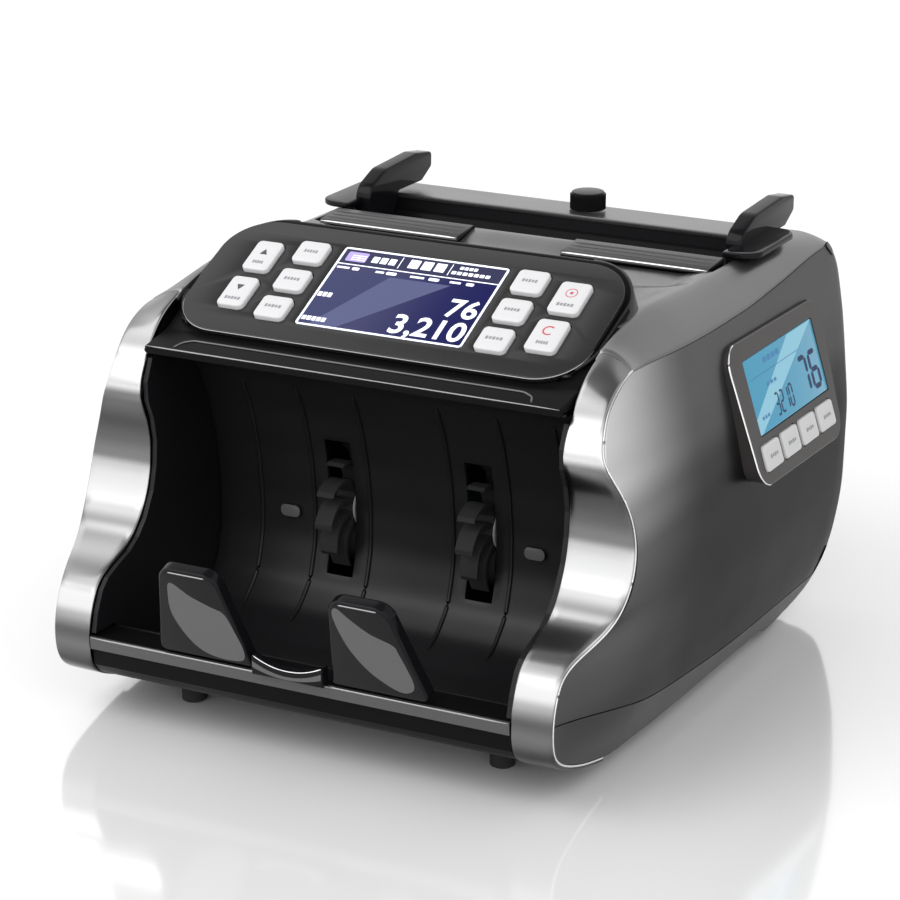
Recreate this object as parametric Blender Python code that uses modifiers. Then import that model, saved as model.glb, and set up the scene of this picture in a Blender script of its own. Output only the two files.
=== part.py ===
"""Table-top banknote counter, built as separate pieces for Blender 4.5.

Lengths are in millimetres inside this file and are turned into metres by the helpers.
Machine axes: X to the operator's right with 0 on the middle plane, Y from the front sill
towards the back, Z up from the table. One empty carries all pieces and moves the machine
so that the middle of its footprint box stands on the world's origin.
"""
import math

import bmesh
import bpy
import numpy as np
from mathutils import Matrix, Vector

MM = 0.001
GAP = 0.3                  # air between neighbouring pieces
WALL = 2.4                 # moulded wall thickness

# ---- driving dimensions of the case -------------------------------------------------
ARM_INNER = 93.0           # inner edge of the two side arms
SIDE_STEP = 4.2            # how far the side covers stop under the crease line
REAR_ROUND = 12.0          # plan radius of the rear corners
BLEND_LENGTH = 70.0        # how far back the flared front edge melts into the side

# Front edge of the arms as (height, depth), from the underside up to the crest.
FRONT_EDGE = [(4, 61), (6.5, 46), (10, 30), (14.8, 16), (19.5, 6), (24, 2), (31, 0.5), (38, 0.4),
              (44, 1.7), (50, 4), (56, 7.5), (60.2, 12.9), (65.6, 28), (70.3, 35), (77.5, 41),
              (85, 45), (94, 47.5), (104, 48.3), (113, 46.8), (120, 43.8), (126.5, 41.8),
              (132, 43), (139.3, 47.2), (148.7, 54.5), (155, 62), (159.5, 72), (164, 88)]
# Crease where the sides meet the top and the trims' outer edge, as (depth, height).
CREASE_LINE = [(41.9, 127), (43.2, 132), (46.6, 139), (50.6, 145), (56.5, 150), (64, 153.4), (74, 155.1),
               (88, 154.7), (115, 153.4), (150, 152.6), (178, 152.8), (217, 154.9), (262, 158.2),
               (280, 158.6)]
# Half width of the flared front edge, and of the barrel-shaped middle, as (height, half width).
FLARE = [(6, 109.6), (50, 110), (57.5, 110.3), (62, 112.8), (66, 117), (73, 120), (85, 121.3),
         (96, 120.7), (105, 118.7), (115, 115), (125, 110.4), (134, 108.5), (144, 107.2), (162, 107)]
BARREL = [(0, 108), (15, 114), (35, 119), (60, 122), (85, 121.5), (110, 117.5), (135, 112), (160, 107)]
# Rear outline as (height, depth).
REAR_EDGE = [(4, 225), (6.4, 246), (12, 258), (22, 266), (39, 270), (56, 271), (79, 273.5), (96, 277),
             (115, 282), (131, 286.5), (146, 288), (154, 285.5), (161, 276)]
TOP_REAR = 276.0           # depth where the top cover turns down
TRIM_REAR = 74.2           # depth where the trims end against the top cover

# ---- sloping control panel -----------------------------------------------------------
PANEL_TILT = math.radians(26.5)
PANEL_ORIGIN = (0, 88, 165.9)
PANEL_THICK = 2.5
KEY_DEPTH, KEY_PROUD, KEY_CLEAR = 6.0, 1.8, 0.4
SCREEN = (0, 1.25, 74, 47.5)               # centre x, centre up-slope, width, height
PANEL_KEYS = {                              # name: centre x, centre up-slope, width, height
    "key_up": (-68.5, 11.4, 12, 17.5), "key_down": (-68.5, -10.8, 12, 17.5),
    "key_add": (-49, 17.3, 13.5, 12.5), "key_menu": (-49, 0.1, 13.5, 12.5),
    "key_batch": (-49, -16.7, 13.5, 12.5),
    "key_currency": (49, 17.6, 13.5, 13), "key_mode": (49, 0.4, 13.5, 13),
    "key_detail": (49, -16.6, 13.5, 13),
    "key_start": (68.7, 11.7, 13.3, 17.8), "key_clear": (68.7, -10.5, 13.3, 17.8)}

# ---- side display: a face that leans out towards its foot -----------------------------
SIDE_FACE_TOP = (112.0, 144.5)              # x and z of its upper edge
SIDE_FACE_LEAN = math.atan2(0.296, 0.955)
SIDE_OUTLINE = [(149, 143.5), (247, 142), (238.5, 86.5), (152.5, 87.5)]   # y, z corners
SIDE_BACK = 106.5
SIDE_SCREEN = (198.5, 24.8, 73, 31)         # centre y, centre down-slope, width, height
SIDE_KEY_SIZE, SIDE_KEY_PITCH, SIDE_KEY_FIRST, SIDE_KEY_DROP = (16.5, 11), 19.3, 166.8, 49.3
SIDE_KEY_PROUD = 1.2

# ---- hopper and note path --------------------------------------------------------------
TRAY_FOOT, TRAY_SLOPE = (200.0, 112.0), 0.866     # y and z of the foot; y gained per unit of z
TRAY_TOP = 158.0
WHEEL_X = 32.0                              # half distance between the two lanes of rollers
FEED_AXIS, RETARD_AXIS, PICKUP_AXIS = (172, 118), (153.8, 134.4), (217.5, 118.6)
STACKER_AXIS, MOTOR_AXIS = (106, 70), (205, 46)
SHAFT_R, SHAFT_HOLE_R = 3.0, 3.5
PLATE_INNER, PLATE_OUTER = 90.7, 92.7       # the two frame plates


def smooth(points):
    """Monotone cubic through (position, value) points, as a function of position."""
    x, y = np.array(points, float).T
    step = np.diff(x)
    rise = np.diff(y) / step
    slope = np.zeros(len(x))
    for i in range(1, len(x) - 1):
        if rise[i - 1] * rise[i] > 0:
            a, b = 2 * step[i] + step[i - 1], step[i] + 2 * step[i - 1]
            slope[i] = (a + b) / (a / rise[i - 1] + b / rise[i])
    slope[0], slope[-1] = rise[0], rise[-1]

    def value(at):
        i = int(np.clip(np.searchsorted(x, at) - 1, 0, len(x) - 2))
        t = (min(max(at, x[0]), x[-1]) - x[i]) / step[i]
        return float((1 + 2 * t) * (1 - t) ** 2 * y[i] + t * (1 - t) ** 2 * step[i] * slope[i]
                     + t * t * (3 - 2 * t) * y[i + 1] + t * t * (t - 1) * step[i] * slope[i + 1])
    return value


front_edge, flare, barrel, rear_edge = smooth(FRONT_EDGE), smooth(FLARE), smooth(BARREL), smooth(REAR_EDGE)


def half_width(y, z):
    """Outside half width of the case at a depth and height."""
    t = min(max((y - front_edge(z)) / BLEND_LENGTH, 0), 1)
    blend = t * t * (3 - 2 * t)
    return flare(z) + (barrel(z) - flare(z)) * blend


crease = smooth(CREASE_LINE)


def top_width(y):
    """Half width of the top cover, which ends at the crease."""
    return half_width(y, crease(y)) - 0.4


def rim_point(z):
    """Where the trims' outer edge is, as depth and height, beside a point of their inner edge."""
    if z <= 127:
        return front_edge(z), z
    share = (front_edge(z) - front_edge(127)) / (TRIM_REAR - front_edge(127))
    y = CREASE_LINE[0][0] + (TRIM_REAR - CREASE_LINE[0][0]) * max(share, 0) ** 0.94
    return y, crease(y)


def inset_front_edge(inset):
    """The outer front edge moved into the body by a distance, as depth over height."""
    edge = [(front_edge(z), z) for z in np.linspace(FRONT_EDGE[0][0], 126, 140)]
    edge += [(y, crease(y)) for y in np.linspace(42.2, 74, 60)]
    points = []
    for (y0, z0), (y1, z1) in zip(edge, edge[1:]):
        along = Vector((y1 - y0, z1 - z0)).normalized()
        points.append(((z0 + z1) / 2 - along.x * inset, (y0 + y1) / 2 + along.y * inset))
    points.sort()
    heights, depths = np.array(points).T
    return lambda z: float(np.interp(z, heights, depths))


# ---- helpers ----------------------------------------------------------------------------
def clear_scene():
    for obj in list(bpy.data.objects):
        bpy.data.objects.remove(obj, do_unlink=True)


def new_collection(name):
    collection = bpy.data.collections.new(name)
    bpy.context.scene.collection.children.link(collection)
    return collection


def paint(obj, color, roughness, metallic=0.0):
    mat = bpy.data.materials.new(obj.name + "_finish")
    mat.use_nodes = True
    bsdf = mat.node_tree.nodes["Principled BSDF"]
    bsdf.inputs["Base Color"].default_value = (*color, 1)
    bsdf.inputs["Roughness"].default_value = roughness
    bsdf.inputs["Metallic"].default_value = metallic
    obj.data.materials.clear()
    obj.data.materials.append(mat)


def add(name, mesh, finish, origin=(0, 0, 0), matrix=None):
    """Link a mesh whose points are in metres about its own origin, and carry it on the empty."""
    mesh.name = name
    obj = bpy.data.objects.new(name, mesh)
    parts.objects.link(obj)
    obj.parent = carrier
    obj.matrix_local = matrix if matrix is not None else Matrix.Translation(Vector(origin) * MM)
    paint(obj, *finish)
    mesh.shade_smooth()
    mesh.set_sharp_from_angle(angle=math.radians(35))
    return obj


def curve_mesh(outlines, thickness):
    """Closed outlines (the first is the rim, the others are holes) extruded along local Z."""
    curve = bpy.data.curves.new("outline", "CURVE")
    curve.dimensions, curve.fill_mode = "2D", "BOTH"
    curve.extrude = thickness / 2 * MM
    for outline in outlines:
        spline = curve.splines.new("POLY")
        spline.points.add(len(outline) - 1)
        spline.use_cyclic_u = True
        for point, (x, y) in zip(spline.points, outline):
            point.co = (x * MM, y * MM, 0, 1)
    holder = bpy.data.objects.new("outline", curve)
    parts.objects.link(holder)
    bpy.context.view_layer.update()
    mesh = bpy.data.meshes.new_from_object(holder.evaluated_get(bpy.context.evaluated_depsgraph_get()))
    bpy.data.objects.remove(holder)
    bm = bmesh.new()
    bm.from_mesh(mesh)
    bmesh.ops.remove_doubles(bm, verts=bm.verts, dist=0.00001)
    bmesh.ops.recalc_face_normals(bm, faces=bm.faces)
    bm.to_mesh(mesh)
    bm.free()
    return mesh


SIDEWAYS = Matrix(((0, 0, 1, 0), (1, 0, 0, 0), (0, 1, 0, 0), (0, 0, 0, 1)))   # outline X,Y -> Y,Z


def side_profile(name, outline, x_low, x_high, finish, holes=(), origin=(0, 0, 0)):
    """A (y, z) outline extruded along X between two planes."""
    mesh = curve_mesh([outline, *holes], x_high - x_low)
    shift = Vector(((x_low + x_high) / 2, 0, 0)) - Vector(origin)
    mesh.transform(Matrix.Translation(shift * MM) @ SIDEWAYS)
    return add(name, mesh, finish, origin)


def rounded(corners, radius, steps=4):
    """Polygon with each corner replaced by an arc. radius is one number or one per corner."""
    radii = radius if isinstance(radius, (list, tuple)) else [radius] * len(corners)
    points = []
    for i, corner in enumerate(corners):
        here = Vector(corner)
        before = (Vector(corners[i - 1]) - here).normalized()
        after = (Vector(corners[(i + 1) % len(corners)]) - here).normalized()
        half = before.angle(after) / 2
        reach = radii[i] / math.tan(half)
        centre = here + (before + after).normalized() * radii[i] / math.sin(half)
        start, end = here + before * reach - centre, here + after * reach - centre
        turn = math.atan2(start.x * end.y - start.y * end.x, start.dot(end))
        for k in range(steps + 1):
            spin = Matrix.Rotation(turn * k / steps, 2)
            points.append(tuple(centre + spin @ start))
    return points


def box_corners(cx, cy, width, height):
    return [(cx - width / 2, cy - height / 2), (cx + width / 2, cy - height / 2),
            (cx + width / 2, cy + height / 2), (cx - width / 2, cy + height / 2)]


def circle(cx, cy, radius, steps=20):
    return [(cx + radius * math.cos(2 * math.pi * k / steps), cy + radius * math.sin(2 * math.pi * k / steps))
            for k in range(steps)]


def sheet(name, rows, finish, flip=False, thickness=WALL, drop=None, origin=(0, 0, 0)):
    """Solidified surface through rows of points. drop(i, j) leaves a cell out."""
    bm = bmesh.new()
    grid = [[bm.verts.new((Vector(p) - Vector(origin)) * MM) for p in row] for row in rows]
    for i in range(len(grid) - 1):
        for j in range(len(grid[0]) - 1):
            if drop and drop(i, j):
                continue
            quad = [grid[i][j], grid[i][j + 1], grid[i + 1][j + 1], grid[i + 1][j]]
            bm.faces.new(reversed(quad) if flip else quad)
    bmesh.ops.delete(bm, geom=[v for v in bm.verts if not v.link_faces], context="VERTS")
    mesh = bpy.data.meshes.new(name)
    bm.to_mesh(mesh)
    bm.free()
    obj = add(name, mesh, finish, origin)
    solid = obj.modifiers.new("wall", "SOLIDIFY")
    solid.thickness, solid.offset = thickness * MM, -1
    return obj


def turned(name, profile, finish, axis_yz, steps=28):
    """A shaft or wheel about an axis along X, from (x, radius) pairs running to lower x."""
    mesh = bpy.data.meshes.new(name)
    points = [(radius * MM, 0, x * MM) for x, radius in profile]
    mesh.from_pydata(points, [(i, i + 1) for i in range(len(points) - 1)], [])
    frame = Matrix.Translation(Vector((0, *axis_yz)) * MM) @ SIDEWAYS
    obj = add(name, mesh, finish, matrix=frame)
    spin = obj.modifiers.new("turn", "SCREW")
    spin.axis, spin.angle = "Z", 2 * math.pi
    spin.steps = spin.render_steps = steps
    spin.use_merge_vertices, spin.merge_threshold = True, 0.00002
    spin.use_smooth_shade = False
    return obj


def bevel(obj, width, segments=1):
    mod = obj.modifiers.new("edges", "BEVEL")
    mod.width, mod.segments = width * MM, segments
    mod.limit_method, mod.angle_limit = "ANGLE", math.radians(50)
    return obj


def cutter(mesh, matrix):
    obj = bpy.data.objects.new("cutter", mesh)
    cutters.objects.link(obj)
    obj.parent = carrier
    obj.matrix_local = matrix
    obj.hide_render, obj.display_type = True, "WIRE"
    return obj


def box_cutter(low, high):
    mesh = bpy.data.meshes.new("cutter")
    bm = bmesh.new()
    bmesh.ops.create_cube(bm, size=1)
    size, middle = Vector(high) - Vector(low), (Vector(high) + Vector(low)) / 2
    bmesh.ops.scale(bm, vec=size * MM, verts=bm.verts)
    bm.to_mesh(mesh)
    bm.free()
    return cutter(mesh, Matrix.Translation(middle * MM))


def cut(obj, tool):
    mod = obj.modifiers.new("cut", "BOOLEAN")
    mod.operation, mod.object = "DIFFERENCE", tool
    return obj


def fuse(obj, tool):
    mod = obj.modifiers.new("fuse", "BOOLEAN")
    mod.operation, mod.object = "UNION", tool
    return obj


# ---- finishes: colour, roughness, metallic -------------------------------------------------
SILVER = ((0.62, 0.62, 0.63), 0.28, 1.0)
GUNMETAL = ((0.085, 0.083, 0.085), 0.38, 0.6)
TOP_GREY = ((0.16, 0.16, 0.165), 0.36, 0.7)
BLACK = ((0.012, 0.012, 0.013), 0.42, 0.0)
GLOSS = ((0.008, 0.008, 0.009), 0.12, 0.0)
KEY_WHITE = ((0.74, 0.73, 0.74), 0.45, 0.0)
KEY_GREY = ((0.45, 0.45, 0.46), 0.45, 0.0)
LCD_NAVY = ((0.02, 0.03, 0.16), 0.12, 0.0)
LCD_CYAN = ((0.10, 0.40, 0.58), 0.15, 0.0)
STEEL = ((0.55, 0.55, 0.56), 0.3, 1.0)
RUBBER = ((0.02, 0.02, 0.02), 0.8, 0.0)
BOARD = ((0.02, 0.16, 0.07), 0.5, 0.0)


# ---- case ----------------------------------------------------------------------------------
def front_trims():
    heights = sorted([z for z, _ in FRONT_EDGE[1:-1] if z < 156] + [129, 135.5, 144, 152, 157.5, 159.2, 160.2])
    for side, word in ((-1, "left"), (1, "right")):
        rows = []
        for z in heights:
            y_rim, z_rim = rim_point(z)
            wide = flare(z) if z < 127 else top_width(y_rim)
            rows.append([(side * (ARM_INNER + (wide - ARM_INNER) * t),
                          front_edge(z) + (y_rim - front_edge(z)) * t ** 1.8, z + (z_rim - z) * t ** 1.8)
                         for t in (0, 0.35, 0.7, 1)])
        sheet(f"{word}_front_trim", rows, SILVER, flip=side < 0)


def side_covers():
    start = inset_front_edge(WALL + 3 * GAP)
    top = CREASE_LINE[6][1] - SIDE_STEP
    heights = [4.5, 7, 10, 14, 19, 25, 32, 40, 48, 54, 58, 61, 64, 68, 74, 82, 92, 104, 114, 122,
               130, 137, 143, 148, top]
    for side, word in ((-1, "left"), (1, "right")):
        rows = []
        for z in heights:
            rear = rear_edge(z) - REAR_ROUND
            follow = max((z - 80) / (top - 80), 0) ** 2      # how far a row bends with the crease
            row = []
            for y in start(z) + (rear - start(z)) * np.linspace(0, 1, 12):
                lifted = z + follow * (crease(max(y, TRIM_REAR)) - SIDE_STEP - top)
                row.append((side * half_width(y, lifted), y, lifted))
            wide, lifted = abs(row[-1][0]), row[-1][2]
            for angle in np.radians((30, 60, 90)):
                row.append((side * (wide - REAR_ROUND * (1 - math.cos(angle))),
                            rear + REAR_ROUND * math.sin(angle), lifted))
            rows.append(row)
        cover = sheet(f"{word}_side_cover", rows, GUNMETAL, flip=side < 0)
        if side > 0:
            window = rounded(SIDE_OUTLINE, 9)
            middle = np.mean(SIDE_OUTLINE, axis=0)
            grown = [tuple(middle + (np.array(p) - middle) * 1.009) for p in window]
            mesh = curve_mesh([grown], 40)
            mesh.transform(SIDEWAYS)
            cut(cover, cutter(mesh, Matrix.Translation(Vector((118, 0, 0)) * MM)))


def top_cover():
    arm = smooth([(75, 160.5), (88, 164), (105, 167), (120, 168), (157, 166.5), (181, 165.8),
                  (243, 164.8), (TOP_REAR, 161.8)])
    middle = smooth([(150, 162.6), (180.6, 163.4), (198, 166.4), (243, 164.8), (TOP_REAR, 161.8)])
    columns = [-1, -0.8, -0.5, -0.2, -92.8, -80, -23.8, 0, 23.8, 80, 92.8, 0.2, 0.5, 0.8, 1]
    depths = [75, 88, 105, 120, 138, 157, 170, 180.6, 198, 220, 243, 258, 269, 275]

    def across(y, wide, z_arm, z_mid, z_rim):
        row = []
        for c in columns:
            if abs(c) <= 1 and c != 0:
                x = math.copysign(92.8 + (wide - 92.8) * abs(c), c)
                z = z_arm + (z_rim - z_arm) * abs(c) ** 1.8
            else:
                x = c
                z = z_mid + (z_arm - z_mid) * max(abs(c) - 80, 0) / 12.8
            row.append((x, y, z))
        return row

    rows = []
    for y in depths:
        turn = max(y - (TOP_REAR + 1 - REAR_ROUND), 0)
        wide = top_width(y) - REAR_ROUND + math.sqrt(REAR_ROUND ** 2 - turn ** 2)
        rows.append(across(y, max(wide, 95.5), arm(y), middle(y), crease(y)))
    for z in (157.5, 151.5):
        rows.append(across(rear_edge(z), 95.3, z, z, z))

    def opening(i, j):
        inside = 4 <= j <= 9
        tongue = 6 <= j <= 7
        return inside and (i < 5 or (i == 7 and not tongue) or 8 <= i <= 9)
    sheet("top_cover", rows, TOP_GREY, drop=opening)


def base_pan():
    rows = []
    floor = [(47.6, 6.2), (61, 4), (120, 4), (204, 4), (225, 4.2)]
    for y, z in floor + [(rear_edge(z), z) for z in (6.5, 9, 13, 20, 29, 40, 50, 59.6)]:
        wide = 106.3 if y < 210 else barrel(z) - REAR_ROUND - 0.8
        rows.append([(wide * t, y, z) for t in (-1, -0.5, 0, 0.5, 1)])
    pan = sheet("base_pan", rows, BLACK, flip=True)
    cut(pan, box_cutter((45.6, 255, 29.6), (74.4, 300, 50.4)))
    cut(pan, box_cutter((19.5, 255, 29), (34.5, 300, 51)))


def rear_cover():
    rows = []
    for z in (61, 75, 90, 105, 120, 135, 149.8):
        wide = barrel(z) - REAR_ROUND - 0.8
        rows.append([(wide * t, rear_edge(z), z) for t in (-1, -0.5, 0, 0.5, 1)])
    sheet("rear_cover", rows, GUNMETAL, flip=True, origin=(0, rear_edge(61), 61))


def front_sill():
    outline = [(1.6, 36.7), (1.9, 31), (2.6, 24.4), (6.4, 19.9), (16, 15.3), (30, 10.5), (46, 6.9),
               (46, 9.6), (30, 14), (15.2, 22), (15.2, 36.7)]
    side_profile("front_sill", outline, -92.6, 92.6, BLACK)
    side_profile("sill_trim", [(0.2, 36.9), (0.6, 31.6), (1.3, 31.6), (1.3, 36.9)], -92.6, 92.6, STEEL)


# ---- control panel --------------------------------------------------------------------------
def panel_frame():
    tilt = Matrix.Rotation(PANEL_TILT, 4, "X")
    return Matrix.Translation(Vector(PANEL_ORIGIN) * MM) @ tilt


def on_panel(name, outlines, top, bottom, finish, centre=(0, 0)):
    """Flat piece parallel to the panel, between two heights above the panel's face."""
    mesh = curve_mesh(outlines, top - bottom)
    lift = Matrix.Translation(Vector((*centre, (top + bottom) / 2)) * MM)
    return add(name, mesh, finish, matrix=panel_frame() @ lift)


def panel():
    outer = [(46.8, 142.2), (60, 142.2), (100, 149.5), (156.7, 152), (156.7, 165), (128, 178.8),
             (124.5, 180), (120.8, 179.0), (59.7, 148.6), (44.4, 145.3), (44, 143.4)]
    inner = [(48.6, 130), (154.2, 130), (154.2, 163.4), (126.8, 176.5), (121.8, 176.8), (60.6, 146.3),
             (48.6, 143.6)]
    housing = side_profile("panel_housing", outer, -91.9, 91.9, BLACK)
    hollow = curve_mesh([inner], 180)
    hollow.transform(SIDEWAYS)
    cut(housing, cutter(hollow, Matrix.Identity(4)))
    window = curve_mesh([rounded(box_corners(0, 0.5, 166, 54), 12)], 16)
    cut(housing, cutter(window, panel_frame()))

    rim = rounded(box_corners(-0.75, 0.5, 179.5, 67), 20, 6)
    holes = [rounded(box_corners(SCREEN[0], SCREEN[1], SCREEN[2] + 0.6, SCREEN[3] + 0.6), 2, 2)]
    for x, s, w, h in PANEL_KEYS.values():
        holes.append(rounded(box_corners(x, s, w + 2 * KEY_CLEAR, h + 2 * KEY_CLEAR), 2.6, 3))
    on_panel("panel_face", [rim, *holes], 0, -PANEL_THICK, BLACK)
    on_panel("display_screen", [rounded(box_corners(0, 0, SCREEN[2], SCREEN[3]), 1.7, 2)], -0.2, -2.2,
             LCD_NAVY, SCREEN[:2])
    for name, (x, s, w, h) in PANEL_KEYS.items():
        key = on_panel(name, [rounded(box_corners(0, 0, w, h), 2.2, 3)], KEY_PROUD, KEY_PROUD - KEY_DEPTH,
                       KEY_WHITE, (x, s))
        bevel(key, 0.5)


# ---- side display ---------------------------------------------------------------------------
def side_frame():
    """Axes of the leaning face: X along the machine, Y down the face, Z out of it (right-handed)."""
    lean = SIDE_FACE_LEAN
    out = Vector((math.cos(lean), 0, math.sin(lean)))
    down = Vector((math.sin(lean), 0, -math.cos(lean)))
    along = down.cross(out)
    turn = Matrix((along, down, out)).transposed().to_4x4()
    return Matrix.Translation(Vector((SIDE_FACE_TOP[0], 0, SIDE_FACE_TOP[1])) * MM) @ turn, along.y


def side_display():
    frame, sense = side_frame()

    def place(y, drop, height):
        return frame @ Matrix.Translation(Vector((y * sense, drop, height)) * MM)

    mesh = curve_mesh([rounded(SIDE_OUTLINE, 9)], 34)
    mesh.transform(Matrix.Translation(Vector((SIDE_BACK + 17, 0, 0)) * MM) @ SIDEWAYS)
    housing = add("side_display_housing", mesh, BLACK)
    cut(housing, cutter(curve_mesh([box_corners(0, 0, 160, 140)], 40), place(198, 30, 20)))
    y, drop, w, h = SIDE_SCREEN
    cut(housing, cutter(curve_mesh([box_corners(0, 0, w + 0.7, h + 0.7)], 4.6), place(y, drop, 0)))
    add("side_display_screen", curve_mesh([rounded(box_corners(0, 0, w, h), 1.2, 2)], 1.7), LCD_CYAN,
        matrix=place(y, drop, -1.15))
    w, h = SIDE_KEY_SIZE
    for k in range(4):
        y = SIDE_KEY_FIRST + k * SIDE_KEY_PITCH
        well = curve_mesh([rounded(box_corners(0, 0, w + 0.8, h + 0.8), 2, 2)], 12)
        cut(housing, cutter(well, place(y, SIDE_KEY_DROP, 0)))
        key = add(f"side_key_{k + 1}", curve_mesh([rounded(box_corners(0, 0, w, h), 1.8, 3)], 5.5), KEY_GREY,
                  matrix=place(y, SIDE_KEY_DROP, SIDE_KEY_PROUD - 2.75))
        bevel(key, 0.4)


# ---- stacker pocket -------------------------------------------------------------------------
def pocket():
    path = [(17.8, 36.4), (19.2, 31.8), (25, 27.8), (40, 24), (62, 23), (80, 27.5), (91.5, 38.5), (96.5, 55),
            (96.8, 72), (94.2, 92), (88.5, 112), (80.5, 128), (71, 136.5), (60, 139.8), (50.2, 140.4)]
    rows = [[(x, y, z) for x in (-90.4, -38.5, -25.5, 0, 25.5, 38.5, 90.4)] for y, z in path]
    liner = sheet("pocket_liner", rows, BLACK, flip=False, thickness=1.8)
    for side in (-1, 1):
        cut(liner, box_cutter((side * WHEEL_X - 6, 80, 41), (side * WHEEL_X + 6, 115, 99)))

    lean = math.atan2(16, 41)
    for side, word in ((-1, "left"), (1, "right")):
        corners = [(17.2, 0.2), (60, 0.2), (49.5, 44), (24.5, 44)]
        outline = rounded([(side * x, s) for x, s in corners], [1.5, 3, 7, 7], 5)
        mesh = curve_mesh([outline], 6)
        upright = Matrix.Rotation(math.radians(90) + lean, 4, "X")
        foot = Matrix.Translation(Vector((0, 0.4, 37.4)) * MM)
        paddle = add(f"{word}_stacker_paddle", mesh, GLOSS,
                     matrix=foot @ upright @ Matrix.Translation(Vector((0, 0, -3)) * MM))
        bevel(paddle, 1.2, 2)
    top = [(x, 41.2 + 3.8 * (x / 15.6) ** 2) for x in np.linspace(15.6, -15.6, 9)]
    mesh = curve_mesh([[(-15.6, 37.2), (15.6, 37.2), *top]], 5)
    mesh.transform(Matrix.Rotation(math.radians(90), 4, "X"))
    add("stacker_centre_lip", mesh, GLOSS, origin=(0, -1.6, 0))


def frame_plates():
    edge = inset_front_edge(1.4)
    front = [(edge(z), z) for z in (38, 46, 54, 58, 61, 64, 68, 74, 84, 94, 104, 114, 122, 130, 139)]
    outline = [*front, (96, 139.5), (108, 147), (197, 147), (197, 107.5), (205, 107.5), (233, 140.5),
               (246, 140.5), (258, 100), (262, 60), (250, 22), (235, 12), (214, 7), (62, 7), (48, 13),
               (17, 26), (17, 38)]
    holes = [circle(y, z, SHAFT_HOLE_R, 16)
             for y, z in (FEED_AXIS, RETARD_AXIS, PICKUP_AXIS, STACKER_AXIS, MOTOR_AXIS)]
    side_profile("left_frame_plate", outline, -PLATE_OUTER, -PLATE_INNER, BLACK, holes)
    side_profile("right_frame_plate", outline, PLATE_INNER, PLATE_OUTER, BLACK, holes)


# ---- hopper ---------------------------------------------------------------------------------
def tray_y(z):
    return TRAY_FOOT[0] + (z - TRAY_FOOT[1]) * TRAY_SLOPE


def hopper():
    outer = [(199.5, 110), (203.5, 109), (tray_y(TRAY_TOP) + 3.4, TRAY_TOP), (199.5, TRAY_TOP)]
    tray = side_profile("hopper_tray", outer, -94.8, 94.8, BLACK)
    well = curve_mesh([[(185, 106), (tray_y(106), 106), (tray_y(165), 165), (185, 165)]], 186.2)
    well.transform(SIDEWAYS)
    cut(tray, cutter(well, Matrix.Identity(4)))
    for side in (-1, 1):
        cut(tray, box_cutter((side * WHEEL_X - 11.5, 203, 110), (side * WHEEL_X + 11.5, 232, 134)))

    lip = [(181, 164.7), (181.4, 163.6), (195.6, 165.2), (195.6, 141), (197.6, 141), (198, 166.8), (197, 167.6),
           (182, 166.2)]
    side_profile("left_feed_lip", lip, -90.5, -24.2, STEEL)
    side_profile("right_feed_lip", lip, 24.2, 90.5, STEEL)

    fin = [(204, 119), (238, 158.4), (240.6, 166.4), (262.5, 166.4), (271.6, 171.3), (271.8, 178), (258, 180),
           (229, 178.6), (214, 172.6), (214, 156), (204, 144)]
    fin = rounded(fin, [1, 1, 2, 2, 2, 2, 12, 14, 8, 4, 4], 2)
    for side, word in ((-1, "left"), (1, "right")):
        low, high = sorted((side * 84.0, side * 91.4))
        guide = side_profile(f"{word}_note_guide", fin, low, high, GLOSS, origin=(side * 87.7, 222, 150))
        wing = curve_mesh([rounded([(88, 201), (103, 201), (103, 249), (88, 249)], [1, 9, 9, 1], 4)], 2.4)
        if side < 0:
            wing.transform(Matrix.Scale(-1, 4, (1, 0, 0)))
            wing.flip_normals()
        fuse(guide, cutter(wing, Matrix.Translation(Vector((0, 0, 167.7)) * MM)))
        bevel(guide, 0.7)


# ---- drive train ----------------------------------------------------------------------------
def roller_profile(radius, width, pulleys=(), end=97.0, shaft=SHAFT_R):
    """Points of a shaft with a roller in each lane and (centre x, radius) pulleys."""
    discs = [(side * WHEEL_X, radius, width) for side in (-1, 1)] + [(x, r, 6.0) for x, r in pulleys]
    far_left = min([-end] + [x - 5 for x, _ in pulleys])
    far_right = max([end] + [x + 5 for x, _ in pulleys])
    points = [(far_right, 0), (far_right, shaft)]
    for x, r, w in sorted(discs, reverse=True):
        points += [(x + w / 2, shaft), (x + w / 2, r), (x - w / 2, r), (x - w / 2, shaft)]
    return points + [(far_left, shaft), (far_left, 0)]


def loop_belt(name, first, second, radii, x_middle):
    """Flat belt round two pulleys: an outline of two arcs, with the same outline inset as its hole."""
    a, b = Vector(first), Vector(second)
    run = (b - a).normalized()
    heading = math.atan2(run.y, run.x)
    lean = math.acos((radii[0] - radii[1]) / (b - a).length)

    def outline(extra):
        points = []
        for centre, radius, low, high in ((a, radii[0], lean, 2 * math.pi - lean), (b, radii[1], -lean, lean)):
            for k in range(9):
                angle = heading + low + (high - low) * k / 8
                points.append((centre.x + (radius + extra) * math.cos(angle),
                               centre.y + (radius + extra) * math.sin(angle)))
        return points
    side_profile(name, outline(1.9), x_middle - 2.4, x_middle + 2.4, RUBBER, [outline(0.5)])


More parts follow.
